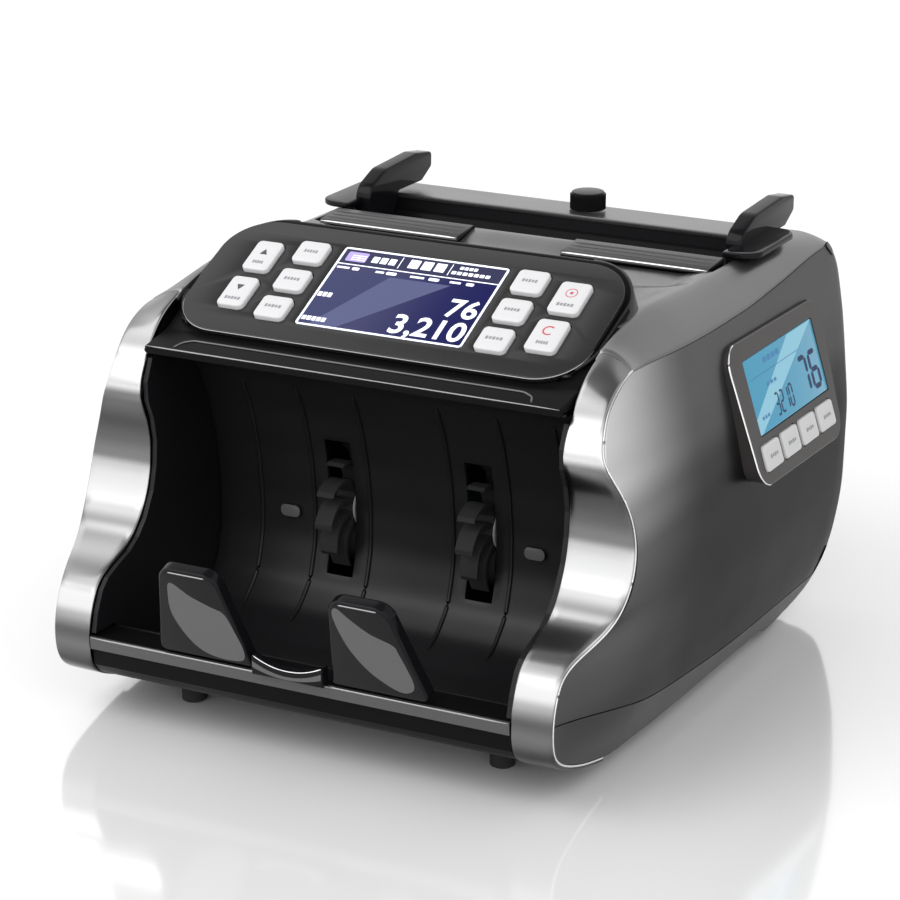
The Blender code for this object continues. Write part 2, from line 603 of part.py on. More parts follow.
def finger_wheel(name, x):
    """Stacking wheel whose curved fingers carry each note down."""
    fingers, hub, tip = 12, 9.5, 26.0
    sweep, thick = math.radians(34), math.radians(9)
    points = []
    for k in range(fingers):
        base = 2 * math.pi * k / fingers
        out = [(hub + (tip - hub) * t, base + sweep * t * t) for t in (0, 0.33, 0.66, 1)]
        back = [(r, angle + thick * (1.5 - (r - hub) / (tip - hub))) for r, angle in reversed(out)]
        points += [(r * math.cos(a), r * math.sin(a)) for r, a in out + back]
    mesh = curve_mesh([points, circle(0, 0, SHAFT_HOLE_R, 16)], 8)
    mesh.transform(SIDEWAYS)
    add(name, mesh, RUBBER, origin=(x, *STACKER_AXIS))


def drive_train():
    turned("feed_roller_shaft", roller_profile(15, 20, [(100.5, 9), (-100.5, 9)]), RUBBER, FEED_AXIS)
    turned("retard_roller", roller_profile(9, 14, end=94, shaft=2.5), RUBBER, RETARD_AXIS, 24)
    turned("pickup_roller_shaft", roller_profile(12, 18, end=94), RUBBER, PICKUP_AXIS)
    stack = [(97, 0), (97, SHAFT_R), (-97.5, SHAFT_R), (-97.5, 9), (-103.5, 9), (-103.5, SHAFT_R),
             (-105, SHAFT_R), (-105, 0)]
    turned("stacker_shaft", stack, STEEL, STACKER_AXIS, 24)
    finger_wheel("left_finger_wheel", -WHEEL_X)
    finger_wheel("right_finger_wheel", WHEEL_X)
    turned("drive_motor", [(84, 0), (84, 6), (82, 6), (82, 17), (25, 17), (22, 14), (22, 0)], STEEL, MOTOR_AXIS, 24)
    turned("motor_pulley", [(105, 0), (105, 2.5), (103.5, 2.5), (103.5, 6), (97.5, 6), (97.5, 2.5), (84.6, 2.5),
                            (84.6, 0)], STEEL, MOTOR_AXIS, 20)
    loop_belt("drive_belt", FEED_AXIS, MOTOR_AXIS, (9, 6), 100.5)
    loop_belt("stacker_belt", FEED_AXIS, STACKER_AXIS, (9, 9), -100.5)


# ---- electrics and small parts ----------------------------------------------------------------
def electrics():
    bevel(side_profile("power_supply", box_corners(177.5, 25.5, 95, 33), -84, -16, STEEL), 1)
    side_profile("main_board", box_corners(182.5, 47.8, 95, 1.6), -84, 12, BOARD)
    inlet = side_profile("power_inlet", box_corners(259.8, 40, 23.2, 20), 46, 74, BLACK)
    cut(inlet, box_cutter((49, 255.2, 33), (71, 300, 47)))
    rocker = [(262.2, 32), (270.8, 30.6), (269.6, 40), (273.2, 48.8), (263.2, 48.4)]
    side_profile("power_switch", rocker, 20.2, 33.8, GLOSS, origin=(27, 266.2, 40))
    knob = curve_mesh([circle(0, 0, 8, 24)], 7.6)
    bevel(add("gap_knob", knob, GLOSS, origin=(0, 259, 168)), 0.8)
    for row, x, y, radius, height in (("front", 70, 40, 5, 6.4), ("rear", 78, 195, 7.5, 3.6)):
        for side, word in ((-1, "left"), (1, "right")):
            foot = curve_mesh([circle(0, 0, radius, 20)], height)
            bevel(add(f"foot_{row}_{word}", foot, RUBBER, origin=(side * x, y, height / 2)), 0.5)


def centre_footprint():
    """Slide the carrier so that the middle of the machine's footprint box is at the origin."""
    bpy.context.view_layer.update()
    graph = bpy.context.evaluated_depsgraph_get()
    points = []
    for obj in parts.objects:
        if obj.type == "MESH":
            shape = obj.evaluated_get(graph)
            points += [(shape.matrix_world @ v.co)[:2] for v in shape.data.vertices]
    low, high = np.min(points, axis=0), np.max(points, axis=0)
    carrier.location = (-(low[0] + high[0]) / 2, -(low[1] + high[1]) / 2, 0)
    bpy.context.view_layer.update()


clear_scene()
parts = new_collection("banknote_counter")
cutters = new_collection("cutters")
carrier = bpy.data.objects.new("machine_origin", None)
parts.objects.link(carrier)
front_trims()
side_covers()
top_cover()
base_pan()
rear_cover()
front_sill()
panel()
side_display()
pocket()
frame_plates()
hopper()
drive_train()
electrics()
centre_footprint()
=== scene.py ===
"""Looks of the banknote counter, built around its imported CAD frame.

Shapes are worked out in machine millimetres: X from the middle plane to the operator's right,
Y from the front sill to the back, Z up from the table. to_world turns them into the row frame.
"""

import math

import bmesh
import bpy
import numpy as np
from mathutils import Matrix, Vector


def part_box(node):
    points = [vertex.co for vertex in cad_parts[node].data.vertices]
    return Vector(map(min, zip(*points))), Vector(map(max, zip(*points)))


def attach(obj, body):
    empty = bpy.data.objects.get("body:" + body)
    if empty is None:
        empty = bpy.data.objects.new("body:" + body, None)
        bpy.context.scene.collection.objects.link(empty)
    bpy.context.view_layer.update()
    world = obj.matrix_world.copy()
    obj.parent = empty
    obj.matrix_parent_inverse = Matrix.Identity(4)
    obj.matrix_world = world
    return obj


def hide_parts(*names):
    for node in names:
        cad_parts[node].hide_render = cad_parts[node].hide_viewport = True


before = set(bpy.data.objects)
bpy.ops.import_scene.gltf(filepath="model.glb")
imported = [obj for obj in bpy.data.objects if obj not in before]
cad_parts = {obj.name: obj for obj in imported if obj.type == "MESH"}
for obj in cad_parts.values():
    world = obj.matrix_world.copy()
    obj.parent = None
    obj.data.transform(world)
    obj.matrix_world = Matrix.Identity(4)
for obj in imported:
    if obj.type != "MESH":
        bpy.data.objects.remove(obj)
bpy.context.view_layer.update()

MM = 0.001


def node_box(name):
    low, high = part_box(name)
    return Vector(low) / MM, Vector(high) / MM


plates = node_box("left_frame_plate")[0], node_box("right_frame_plate")[1]
SILL_SET_BACK = 0.2          # how far behind the machine's Y = 0 the sill strip starts
ORIGIN = Vector(((plates[0].x + plates[1].x) / 2, node_box("sill_trim")[0].y - SILL_SET_BACK, 0))
to_world = Matrix.Scale(MM, 4) @ Matrix.Translation(ORIGIN)

# ---- driving dimensions, as in the CAD ---------------------------------------------------
ARM_INNER = 93.0             # inner face of the arms beside the pocket
REAR_ROUND = 12.0            # radius of the upright rear corners
BLEND_LENGTH = 70.0          # depth over which the front flare turns into the barrel of the sides
# Lists of pairs are (height, depth) or (height, half width) unless a comment says otherwise.
FRONT_EDGE = [(4, 61), (6.5, 46), (10, 30), (14.8, 16), (19.5, 6), (24, 2), (31, 0.5), (38, 0.4),
              (44, 1.7), (50, 4), (56, 7.5), (60.2, 12.9), (65.6, 28), (70.3, 35), (77.5, 41),
              (85, 45), (94, 47.5), (104, 48.3), (113, 46.8), (120, 43.8), (126.5, 41.8),
              (132, 43), (139.3, 47.2), (148.7, 54.5), (155, 62), (159.5, 72), (164, 88)]
CREASE_LINE = [(41.9, 127), (43.2, 132), (46.6, 139), (50.6, 145), (56.5, 150), (64, 153.4), (74, 155.1),
               (88, 154.7), (115, 153.4), (150, 152.6), (178, 152.8), (217, 154.9), (262, 158.2),
               (290, 158.6)]                                                       # depth, height
FLARE = [(6, 109.6), (50, 110), (57.5, 110.3), (62, 112.8), (66, 117), (73, 120), (85, 121.3),
         (96, 120.7), (105, 118.7), (115, 115), (125, 110.4), (134, 108.5), (144, 107.2), (162, 107)]
BARREL = [(0, 108), (15, 114), (35, 119), (60, 122), (85, 121.5), (110, 117.5), (135, 112), (160, 107)]
REAR_EDGE = [(4, 225), (6.4, 246), (12, 258), (22, 266), (39, 270), (56, 271), (79, 273.5), (96, 277),
             (115, 282), (131, 286.5), (146, 288), (154, 285.5), (161, 276)]
TOP_REAR, TRIM_REAR = 276.0, 74.2
SEAM = [(0, 38), (42, 31), (79, 24), (118, 20), (150, 17.4), (180, 16.4), (290, 16.4)]   # depth, height
PANEL_TILT = math.radians(26.5)
PANEL_ORIGIN = (0, 88, 165.9)             # middle of the panel's face, which its own frame starts from
SCREEN = (0, 1.25, 74, 47.5)                # across, up the slope, width, height
PANEL_KEYS = {               # across, up the slope, width, height
    "key_up": (-68.5, 11.4, 12, 17.5), "key_down": (-68.5, -10.8, 12, 17.5),
    "key_add": (-49, 17.3, 13.5, 12.5), "key_menu": (-49, 0.1, 13.5, 12.5),
    "key_batch": (-49, -16.7, 13.5, 12.5),
    "key_currency": (49, 17.6, 13.5, 13), "key_mode": (49, 0.4, 13.5, 13),
    "key_detail": (49, -16.6, 13.5, 13),
    "key_start": (68.7, 11.7, 13.3, 17.8), "key_clear": (68.7, -10.5, 13.3, 17.8)}
KEY_PROUD, KEY_DEPTH = 1.8, 6.0
SIDE_FACE_TOP = (112.0, 144.5)            # across, height
SIDE_FACE_LEAN = math.atan2(0.296, 0.955)
SIDE_OUTLINE = [(149, 143.5), (247, 142), (238.5, 86.5), (152.5, 87.5)]     # depth, height
SIDE_SCREEN = (198.5, 24.8, 73, 31)       # depth, down the face, width, height
SIDE_KEY_SIZE = (16.5, 11)
SIDE_KEY_FIRST, SIDE_KEY_PITCH, SIDE_KEY_DROP, SIDE_KEY_PROUD = 166.8, 19.3, 49.3, 1.2
WHEEL_X = 32.0
TONGUE = 23.8                # half width of the deck tongue between the feed lips
FEED_AXIS, PICKUP_AXIS = (172, 118), (217.5, 118.6)                         # depth, height
STACKER_AXIS, RETARD_AXIS, MOTOR_AXIS = (106, 70), (153.8, 134.4), (205, 46)


# ---- curves that shape the case -----------------------------------------------------------
def smooth(points):
    """Monotone cubic through (position, value) points, as a function of position."""
    x, y = np.array(points, float).T
    step = np.diff(x)
    rise = np.diff(y) / step
    slope = np.zeros(len(x))
    for i in range(1, len(x) - 1):
        if rise[i - 1] * rise[i] > 0:
            a, b = 2 * step[i] + step[i - 1], step[i] + 2 * step[i - 1]
            slope[i] = (a + b) / (a / rise[i - 1] + b / rise[i])
    slope[0], slope[-1] = rise[0], rise[-1]

    def value(at):
        i = int(np.clip(np.searchsorted(x, at) - 1, 0, len(x) - 2))
        t = (min(max(at, x[0]), x[-1]) - x[i]) / step[i]
        return float((1 + 2 * t) * (1 - t) ** 2 * y[i] + t * (1 - t) ** 2 * step[i] * slope[i]
                     + t * t * (3 - 2 * t) * y[i + 1] + t * t * (t - 1) * step[i] * slope[i + 1])
    return value


def relaxed(points, passes):
    """Evenly spaced points along a smoothed line, with its ends kept."""
    line = np.array(points, float)
    for _ in range(passes):
        line[1:-1] = (line[:-2] + 2 * line[1:-1] + line[2:]) / 4
    return line


def resample(points, count):
    line = np.array(points, float)
    run = np.concatenate([[0], np.cumsum(np.linalg.norm(np.diff(line, axis=0), axis=1))])
    at = np.linspace(0, run[-1], count)
    return np.stack([np.interp(at, run, line[:, k]) for k in range(line.shape[1])], axis=1)


def softened(points, low, high, passes=60):
    """A monotone cubic with its curvature evened out, as a function of position."""
    curve = smooth(points)
    at = np.linspace(low, high, 300)
    line = relaxed([(curve(t), t) for t in at], passes)
    return lambda t: float(np.interp(t, at, line[:, 0]))


front_edge = softened(FRONT_EDGE, 4, 164, 30)
flare = softened(FLARE, 6, 162, 80)
barrel, rear_edge = softened(BARREL, 0, 161), softened(REAR_EDGE, 4, 161)
seam = softened(SEAM, 0, 290, 200)
crease = smooth(CREASE_LINE)


def offset(line, inset):
    """A (depth, height) line moved into the body by one distance, or by one per point."""
    tangent = np.gradient(np.asarray(line, float), axis=0)
    tangent /= np.linalg.norm(tangent, axis=1)[:, None]
    return line + np.stack([tangent[:, 1], -tangent[:, 0]], axis=1) * np.reshape(inset, (-1, 1))


TRIM_FOOT, TRIM_TOP = 6.5, 160.2                 # heights at which the trims end
ELBOW = 127                  # height at which the trims turn back towards the top cover


def trim_edges(count, low=TRIM_FOOT, high=TRIM_TOP):
    """Inner and outer edge of the trims as (depth, height), point for point."""
    inner = resample([(front_edge(z), z) for z in np.linspace(low, high, 900)], count)
    start = front_edge(ELBOW)
    outer = []
    for y, z in inner:
        if z > ELBOW:
            share = max((y - start) / (TRIM_REAR - start), 0)
            y = CREASE_LINE[0][0] + (TRIM_REAR - CREASE_LINE[0][0]) * share ** 0.94
            z = crease(y)
        outer.append((y, z))
    return inner, relaxed(outer, 25)


def half_width(y, z):
    t = min(max((y - front_edge(z)) / BLEND_LENGTH, 0), 1)
    wide = flare(z) + (barrel(z) - flare(z)) * t * t * (3 - 2 * t)
    turn = min(max(y - (rear_edge(z) - REAR_ROUND), 0), REAR_ROUND)
    return wide - REAR_ROUND + math.sqrt(REAR_ROUND ** 2 - turn ** 2)


def top_width(y):
    return half_width(y, crease(y)) - 0.4


# ---- materials ------------------------------------------------------------------------------
HEIGHT = 181.0               # of the machine, which the painted light bands are measured against


def set_stops(ramp, stops):
    """Fill a color ramp with (place, grey value) stops, all strictly between 0 and 1."""
    ramp.color_ramp.interpolation = "EASE"
    for place, value in stops:
        ramp.color_ramp.elements.new(place).color = (value, value, value, 1)
    ramp.color_ramp.elements.remove(ramp.color_ramp.elements[0])
    ramp.color_ramp.elements.remove(ramp.color_ramp.elements[-1])


def set_inputs(node, values):
    """Set a node's sockets: a socket is linked, anything else is a constant."""
    for name, value in values.items():
        if isinstance(value, bpy.types.NodeSocket):
            node.id_data.links.new(value, node.inputs[name])
        else:
            node.inputs[name].default_value = value


def add_node(tree, kind, values):
    node = tree.nodes.new("ShaderNode" + kind)
    set_inputs(node, values)
    return node


def shade(name, color, roughness, metallic=0.0, coat=0.0, grain=0.0, grain_size=0.4, mottle=0.06,
          streak=None, painted_light_fade=None, glow=0.0, rough_swing=0.06, gleam=0.5, edge=1.0, painted_light_bands=None):
    """Procedural finish. Sizes are in millimetres.

    grain is the bump of a fine moulded or sprayed texture, mottle the swing of its tone, streak
    stretches both along X, Y or Z, and painted_light_fade is (color, start, end), a change along the
    depth that paints light and shade into the colour. painted_light_bands are (height, share) stops
    that darken the tone with height: painted reflections and painted shade. gleam is the level of the
    highlight and edge its brightness at a grazing angle.
    """
    mat = bpy.data.materials.new(name)
    mat.use_nodes = True
    tree = mat.node_tree
    bsdf = tree.nodes["Principled BSDF"]
    set_inputs(bsdf, {"Metallic": metallic, "Specular IOR Level": gleam, "Coat Weight": coat,
                      "Specular Tint": (edge, edge, edge, 1), "Coat Roughness": 0.06})
    place = tree.nodes.new("ShaderNodeTexCoord").outputs["Object"]
    scale = [1 / MM] * 3
    if streak is not None:
        scale["XYZ".index(streak)] *= 0.02
    spot = add_node(tree, "Mapping", {"Vector": place, "Scale": scale}).outputs["Vector"]
    fine = add_node(tree, "TexNoise", {"Scale": 1 / grain_size, "Detail": 3, "Vector": spot}).outputs["Fac"]
    broad = add_node(tree, "TexNoise", {"Scale": 0.035, "Detail": 4, "Vector": spot}).outputs["Fac"]

    tone = add_node(tree, "Math", {0: fine, 1: mottle, 2: 1 - mottle / 2})
    tone.operation = "MULTIPLY_ADD"
    base = add_node(tree, "VectorMath", {0: color})
    base.operation = "SCALE"
    if painted_light_fade:
        split = add_node(tree, "SeparateXYZ", {"Vector": place})
        share = add_node(tree, "MapRange", {"From Min": (painted_light_fade[1] + ORIGIN.y) * MM,
                                            "From Max": (painted_light_fade[2] + ORIGIN.y) * MM,
                                            "Value": split.outputs["Y"]})
        share.interpolation_type = "SMOOTHSTEP"
        mix = add_node(tree, "Mix", {})
        mix.data_type = "RGBA"
        set_inputs(mix, {"A": (*color, 1), "B": (*painted_light_fade[0], 1), "Factor": share.outputs["Result"]})
        set_inputs(base, {0: mix.outputs["Result"]})
    if painted_light_bands:
        split = add_node(tree, "SeparateXYZ", {"Vector": place})
        level = add_node(tree, "Math", {0: split.outputs["Z"], 1: HEIGHT * MM})
        level.operation = "DIVIDE"
        ramp = add_node(tree, "ValToRGB", {"Fac": level.outputs["Value"]})
        set_stops(ramp, [(z / HEIGHT, share) for z, share in painted_light_bands])
        tone = add_node(tree, "Math", {0: tone.outputs["Value"], 1: ramp.outputs["Color"]})
        tone.operation = "MULTIPLY"
    set_inputs(base, {"Scale": tone.outputs["Value"]})
    rough = add_node(tree, "MapRange", {"To Min": max(roughness - rough_swing, 0.02), "Value": broad,
                                        "To Max": roughness + rough_swing})
    set_inputs(bsdf, {"Base Color": base.outputs["Vector"], "Roughness": rough.outputs["Result"]})
    if grain:
        bump = add_node(tree, "Bump", {"Strength": grain, "Distance": 0.05 * MM, "Height": fine})
        set_inputs(bsdf, {"Normal": bump.outputs["Normal"]})
    if glow:
        set_inputs(bsdf, {"Emission Strength": glow, "Emission Color": base.outputs["Vector"]})
    return mat


SILVER = (0.52, 0.52, 0.525)
# Painted reflections: the silver's tone rises and falls with height in bands that stand for the studio's
# reflections in the trims.
TRIM_PAINTED_REFLECTIONS = [(12, 0.07), (24, 0.1), (32, 0.28), (38, 0.17), (44, 0.5), (48, 0.85), (52, 0.85),
              (56, 0.34), (60, 0.5), (64, 1), (68, 0.8), (72, 0.24), (76, 0.42), (80, 0.86), (88, 0.8),
              (92, 0.8), (96, 0.28), (104, 0.19), (112, 0.13), (120, 0.2), (124, 0.32), (128, 1),
              (136, 0.95), (140, 0.58), (144, 0.33), (149, 0.42), (153, 0.62), (157, 0.7)]
# Painted shade: the gunmetal sides darken towards the bottom.
SIDE_PAINTED_SHADE = [(30, 0.09), (45, 0.12), (60, 0.15), (75, 0.14), (90, 0.18), (105, 0.42), (120, 0.9),
              (135, 1)]
# Dimmed silver that the trims and the top fade into along the depth: a painted reflection gradient.
SILVER_PAINTED_DIM = (0.15, 0.15, 0.153)
silver = shade("silver_paint", SILVER, 0.21, 1.0, grain=0.06, grain_size=0.25, mottle=0.05, streak="X",
               painted_light_fade=(SILVER_PAINTED_DIM, 50, 88), painted_light_bands=TRIM_PAINTED_REFLECTIONS)
top_paint = shade("top_paint", SILVER, 0.30, 0.9, coat=0.1, grain=0.08, grain_size=0.2, mottle=0.14,
                  painted_light_fade=(SILVER_PAINTED_DIM, 50, 88))
lip_paint = shade("lip_paint", (0.04, 0.04, 0.041), 0.3, 0.9, grain=0.08, grain_size=0.2, mottle=0.14,
                  streak="X")
# The gunmetal also fades darker towards the back along the depth: painted shade.
gunmetal = shade("gunmetal_paint", (0.68, 0.68, 0.683), 0.32, 0.85, grain=0.10, grain_size=0.2,
                 mottle=0.16, painted_light_fade=((0.105, 0.104, 0.106), 34, 120), edge=0.62, painted_light_bands=SIDE_PAINTED_SHADE)
rear_paint = shade("rear_paint", (0.055, 0.0545, 0.056), 0.34, 0.85, grain=0.10, grain_size=0.2,
                   mottle=0.16, edge=0.62)
band_paint = shade("band_paint", (0.018, 0.018, 0.019), 0.36, 0.6, grain=0.15, grain_size=0.25,
                   mottle=0.15)
# Bright metal of the beads and edge lines: a painted highlight along rounded edges.
bead = shade("bead_painted_highlight", (0.72, 0.72, 0.73), 0.18, 1.0, grain=0.04, streak="X")
# Grey metal lines laid along edges: painted highlights.
painted_highlight_metal = shade("painted_highlight_metal", (0.28, 0.28, 0.285), 0.25, 1.0, grain=0.04, streak="X")
black = shade("black_moulding", (0.0045, 0.0045, 0.005), 0.32, grain=0.3, grain_size=0.35, mottle=0.3,
              gleam=0.04)
panel_black = shade("panel_black", (0.015, 0.015, 0.0155), 0.28, grain=0.1, grain_size=0.25,
                    mottle=0.2, gleam=0.3)
# Black of inner parts, also used for dark sheets that paint shade into vent slots and the door pull's well.
inner_black_and_slot_shade = shade("inner_black_and_slot_shade", (0.006, 0.006, 0.007), 0.45, grain=0.3, grain_size=0.5, mottle=0.3,
                    gleam=0.2)
pocket_black = shade("pocket_black", (0.009, 0.009, 0.010), 0.36, grain=0.25, grain_size=0.5, mottle=0.25,
                     gleam=0.25)
gloss_black = shade("gloss_black", (0.005, 0.005, 0.006), 0.09, grain=0.02, mottle=0.2,
                    rough_swing=0.02, gleam=0.1)
sill_grey = shade("sill_grey", (0.075, 0.075, 0.077), 0.3, 0.4, grain=0.05, streak="X", gleam=0.3)
# Grey of the sensor windows, and of the painted reflections on the paddles and the centre lip.
window_and_reflection_grey = shade("sensor_window_and_painted_reflection", (0.085, 0.085, 0.087), 0.2, grain=0.02, mottle=0.1, gleam=0.2)
key_white = shade("key_white", (0.53, 0.525, 0.535), 0.42, grain=0.18, grain_size=0.3, mottle=0.05,
                  gleam=0.3)
key_grey = shade("key_grey", (0.50, 0.50, 0.505), 0.42, grain=0.18, grain_size=0.3, mottle=0.06,
                 gleam=0.3)
key_mark = shade("key_mark", (0.22, 0.22, 0.24), 0.5, mottle=0.2)
key_dark = shade("key_dark", (0.05, 0.05, 0.055), 0.5, mottle=0.2)
key_red = shade("key_red", (0.45, 0.07, 0.10), 0.5, mottle=0.2)
steel = shade("turned_steel", (0.24, 0.24, 0.245), 0.3, 1.0, grain=0.08, streak="X")
rubber = shade("rubber", (0.018, 0.018, 0.018), 0.78, grain=0.5, grain_size=0.5, mottle=0.35,
               gleam=0.2)
roller_rubber = shade("roller_rubber", (0.05, 0.046, 0.042), 0.7, grain=0.5, grain_size=0.4, mottle=0.3,
                      gleam=0.2)
wheel_hub = shade("wheel_hub", (0.30, 0.30, 0.29), 0.5, grain=0.2, mottle=0.1)
sleeve_blue = shade("sleeve_blue", (0.01, 0.02, 0.07), 0.3, mottle=0.2)
board_green = shade("board_green", (0.015, 0.10, 0.045), 0.4, grain=0.2, grain_size=0.8, mottle=0.5)
NAVY_LOOK = {"glow": 0.4, "mottle": 0.3, "gleam": 0.4}
navy = shade("screen_navy", (0.006, 0.007, 0.055), 0.12, **NAVY_LOOK)
navy_light = shade("screen_navy_light", (0.005, 0.006, 0.038), 0.12, **NAVY_LOOK)
# Painted reflections: lighter sheets for glare on the screen glass.
navy_glare = shade("screen_navy_glare", (0.045, 0.052, 0.125), 0.12, **NAVY_LOOK)
navy_faint_glare = shade("screen_navy_haze", (0.012, 0.016, 0.068), 0.12, **NAVY_LOOK)
screen_lilac = shade("screen_lilac", (0.32, 0.26, 0.55), 0.3, glow=0.3, mottle=0.3)
screen_white = shade("screen_white", (0.80, 0.82, 0.88), 0.3, glow=0.35, mottle=0.05)
cyan = shade("side_cyan", (0.045, 0.215, 0.33), 0.14, glow=0.3, mottle=0.2, gleam=0.3)
# Painted reflection: glare on the side screen.
cyan_glare = shade("side_cyan_light", (0.17, 0.37, 0.47), 0.14, glow=0.3, mottle=0.2, gleam=0.3)
segment_blue = shade("segment_blue", (0.004, 0.018, 0.075), 0.3, mottle=0.2, gleam=0.2)
segment_faint = shade("segment_faint", (0.04, 0.15, 0.31), 0.3, glow=0.2, mottle=0.2, gleam=0.2)
bezel_black = shade("bezel_black", (0.036, 0.033, 0.032), 0.34, grain=0.1, grain_size=0.25,
                    mottle=0.2, gleam=0.3)
bezel_edge = shade("bezel_edge", (0.12, 0.12, 0.12), 0.3, 0.5, grain=0.05, mottle=0.2)

# ---- piece builders -------------------------------------------------------------------------
IDENTITY = Matrix.Identity(4)
SIDEWAYS = Matrix(((0, 0, 1, 0), (1, 0, 0, 0), (0, 1, 0, 0), (0, 0, 0, 1)))   # outline X,Y -> Y,Z
UPRIGHT = Matrix.Rotation(math.radians(90), 4, "X")                          # outline X,Y -> X,Z
REARWARD = Matrix.Rotation(math.pi, 4, "Z") @ UPRIGHT                        # the same, seen from behind
panel_frame = Matrix.Translation(PANEL_ORIGIN) @ Matrix.Rotation(PANEL_TILT, 4, "X")
link = bpy.context.scene.collection.objects.link


def at(x, y, z):
    return Matrix.Translation((x, y, z))


def settle(obj, mat, body="root", replaces=(), sharp=35):
    """Finish a piece whose mesh is in machine millimetres: place it, paint it and mount it."""
    link(obj)
    obj.data.transform(to_world)
    obj.data.materials.append(mat)
    obj.data.shade_smooth()
    obj.data.set_sharp_from_angle(angle=math.radians(sharp))
    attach(obj, body)
    if replaces:
        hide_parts(*replaces)
    return obj


def mesh_from(name, verts, faces, matrix=IDENTITY):
    mesh = bpy.data.meshes.new(name)
    mesh.from_pydata([tuple(v) for v in verts], [], faces)
    mesh.transform(matrix)
    bm = bmesh.new()
    bm.from_mesh(mesh)
    bmesh.ops.recalc_face_normals(bm, faces=bm.faces)
    bm.to_mesh(mesh)
    bm.free()
    return bpy.data.objects.new(name, mesh)


def grid(name, rows, flip=False, drop=None, thickness=0.0):
    """Surface through rows of points, with an optional wall behind it."""
    count = len(rows[0])
    faces = []
    for i in range(len(rows) - 1):
        for j in range(count - 1):
            if drop and drop(i, j):
                continue
            a = i * count + j
            quad = (a, a + 1, a + count + 1, a + count)
            faces.append(quad[::-1] if flip else quad)
    mesh = bpy.data.meshes.new(name)
    mesh.from_pydata([tuple(p) for row in rows for p in row], [], faces)
    bm = bmesh.new()
    bm.from_mesh(mesh)
    bmesh.ops.delete(bm, geom=[v for v in bm.verts if not v.link_faces], context="VERTS")
    bm.to_mesh(mesh)
    bm.free()
    obj = bpy.data.objects.new(name, mesh)
    if thickness:
        wall = obj.modifiers.new("wall", "SOLIDIFY")
        wall.thickness, wall.offset = thickness * MM, -1
    return obj


def rounded(corners, radius, steps=8):
    """Polygon with each corner replaced by an arc. radius is one number or one per corner."""
    radii = radius if isinstance(radius, (list, tuple)) else [radius] * len(corners)
    points = []
    for i, corner in enumerate(corners):
        here = Vector(corner)
        before = (Vector(corners[i - 1]) - here).normalized()
        after = (Vector(corners[(i + 1) % len(corners)]) - here).normalized()
        half = before.angle(after) / 2
        reach = radii[i] / math.tan(half)
        centre = here + (before + after).normalized() * radii[i] / math.sin(half)
        start, end = here + before * reach - centre, here + after * reach - centre
        turn = math.atan2(start.x * end.y - start.y * end.x, start.dot(end))
        for k in range(steps + 1):
            points.append(tuple(centre + Matrix.Rotation(turn * k / steps, 2) @ start))
    return points


def box_corners(cx, cy, width, height):
    return [(cx - width / 2, cy - height / 2), (cx + width / 2, cy - height / 2),
            (cx + width / 2, cy + height / 2), (cx - width / 2, cy + height / 2)]


def rbox(cx, cy, width, height, radius, steps=8):
    return rounded(box_corners(cx, cy, width, height), radius, steps)


def circle(cx, cy, radius, steps=40):
    turns = [2 * math.pi * k / steps for k in range(steps)]
    return [(cx + radius * math.cos(a), cy + radius * math.sin(a)) for a in turns]


def wound(outline, clockwise):
    area = sum(a[0] * b[1] - b[0] * a[1] for a, b in zip(outline, outline[1:] + outline[:1]))
    return outline[::-1] if (area < 0) != clockwise else outline


def applied(obj):
    """Mesh of a linked object with its modifiers or curve settings applied."""
    bpy.context.view_layer.update()
    return bpy.data.meshes.new_from_object(obj.evaluated_get(bpy.context.evaluated_depsgraph_get()))


def curve_mesh(name, curve):
    holder = bpy.data.objects.new(name, curve)
    link(holder)
    mesh = applied(holder)
    bpy.data.objects.remove(holder)
    mesh.materials.clear()
    return mesh


def plate(name, outlines, low, high, edge=0.0, matrix=IDENTITY, segments=2):
    """Flat piece between two heights of its own frame, with rounded rims. Later outlines are holes."""
    curve = bpy.data.curves.new(name, "CURVE")
    curve.dimensions, curve.fill_mode = "2D", "BOTH"
    curve.extrude = (high - low) / 2 - edge
    curve.bevel_depth, curve.bevel_resolution, curve.offset = edge, segments, -edge
    for k, outline in enumerate(outlines):
        outline = wound(list(outline), clockwise=k > 0)
        spline = curve.splines.new("POLY")
        spline.points.add(len(outline) - 1)
        spline.use_cyclic_u = True
        for point, (x, y) in zip(spline.points, outline):
            point.co = (x, y, 0, 1)
    mesh = curve_mesh(name, curve)
    bm = bmesh.new()
    bm.from_mesh(mesh)
    bmesh.ops.remove_doubles(bm, verts=bm.verts, dist=0.001)
    bmesh.ops.dissolve_degenerate(bm, edges=bm.edges, dist=0.0005)
    bmesh.ops.recalc_face_normals(bm, faces=bm.faces)
    bm.to_mesh(mesh)
    bm.free()
    mesh.transform(matrix @ at(0, 0, (low + high) / 2))
    return bpy.data.objects.new(name, mesh)


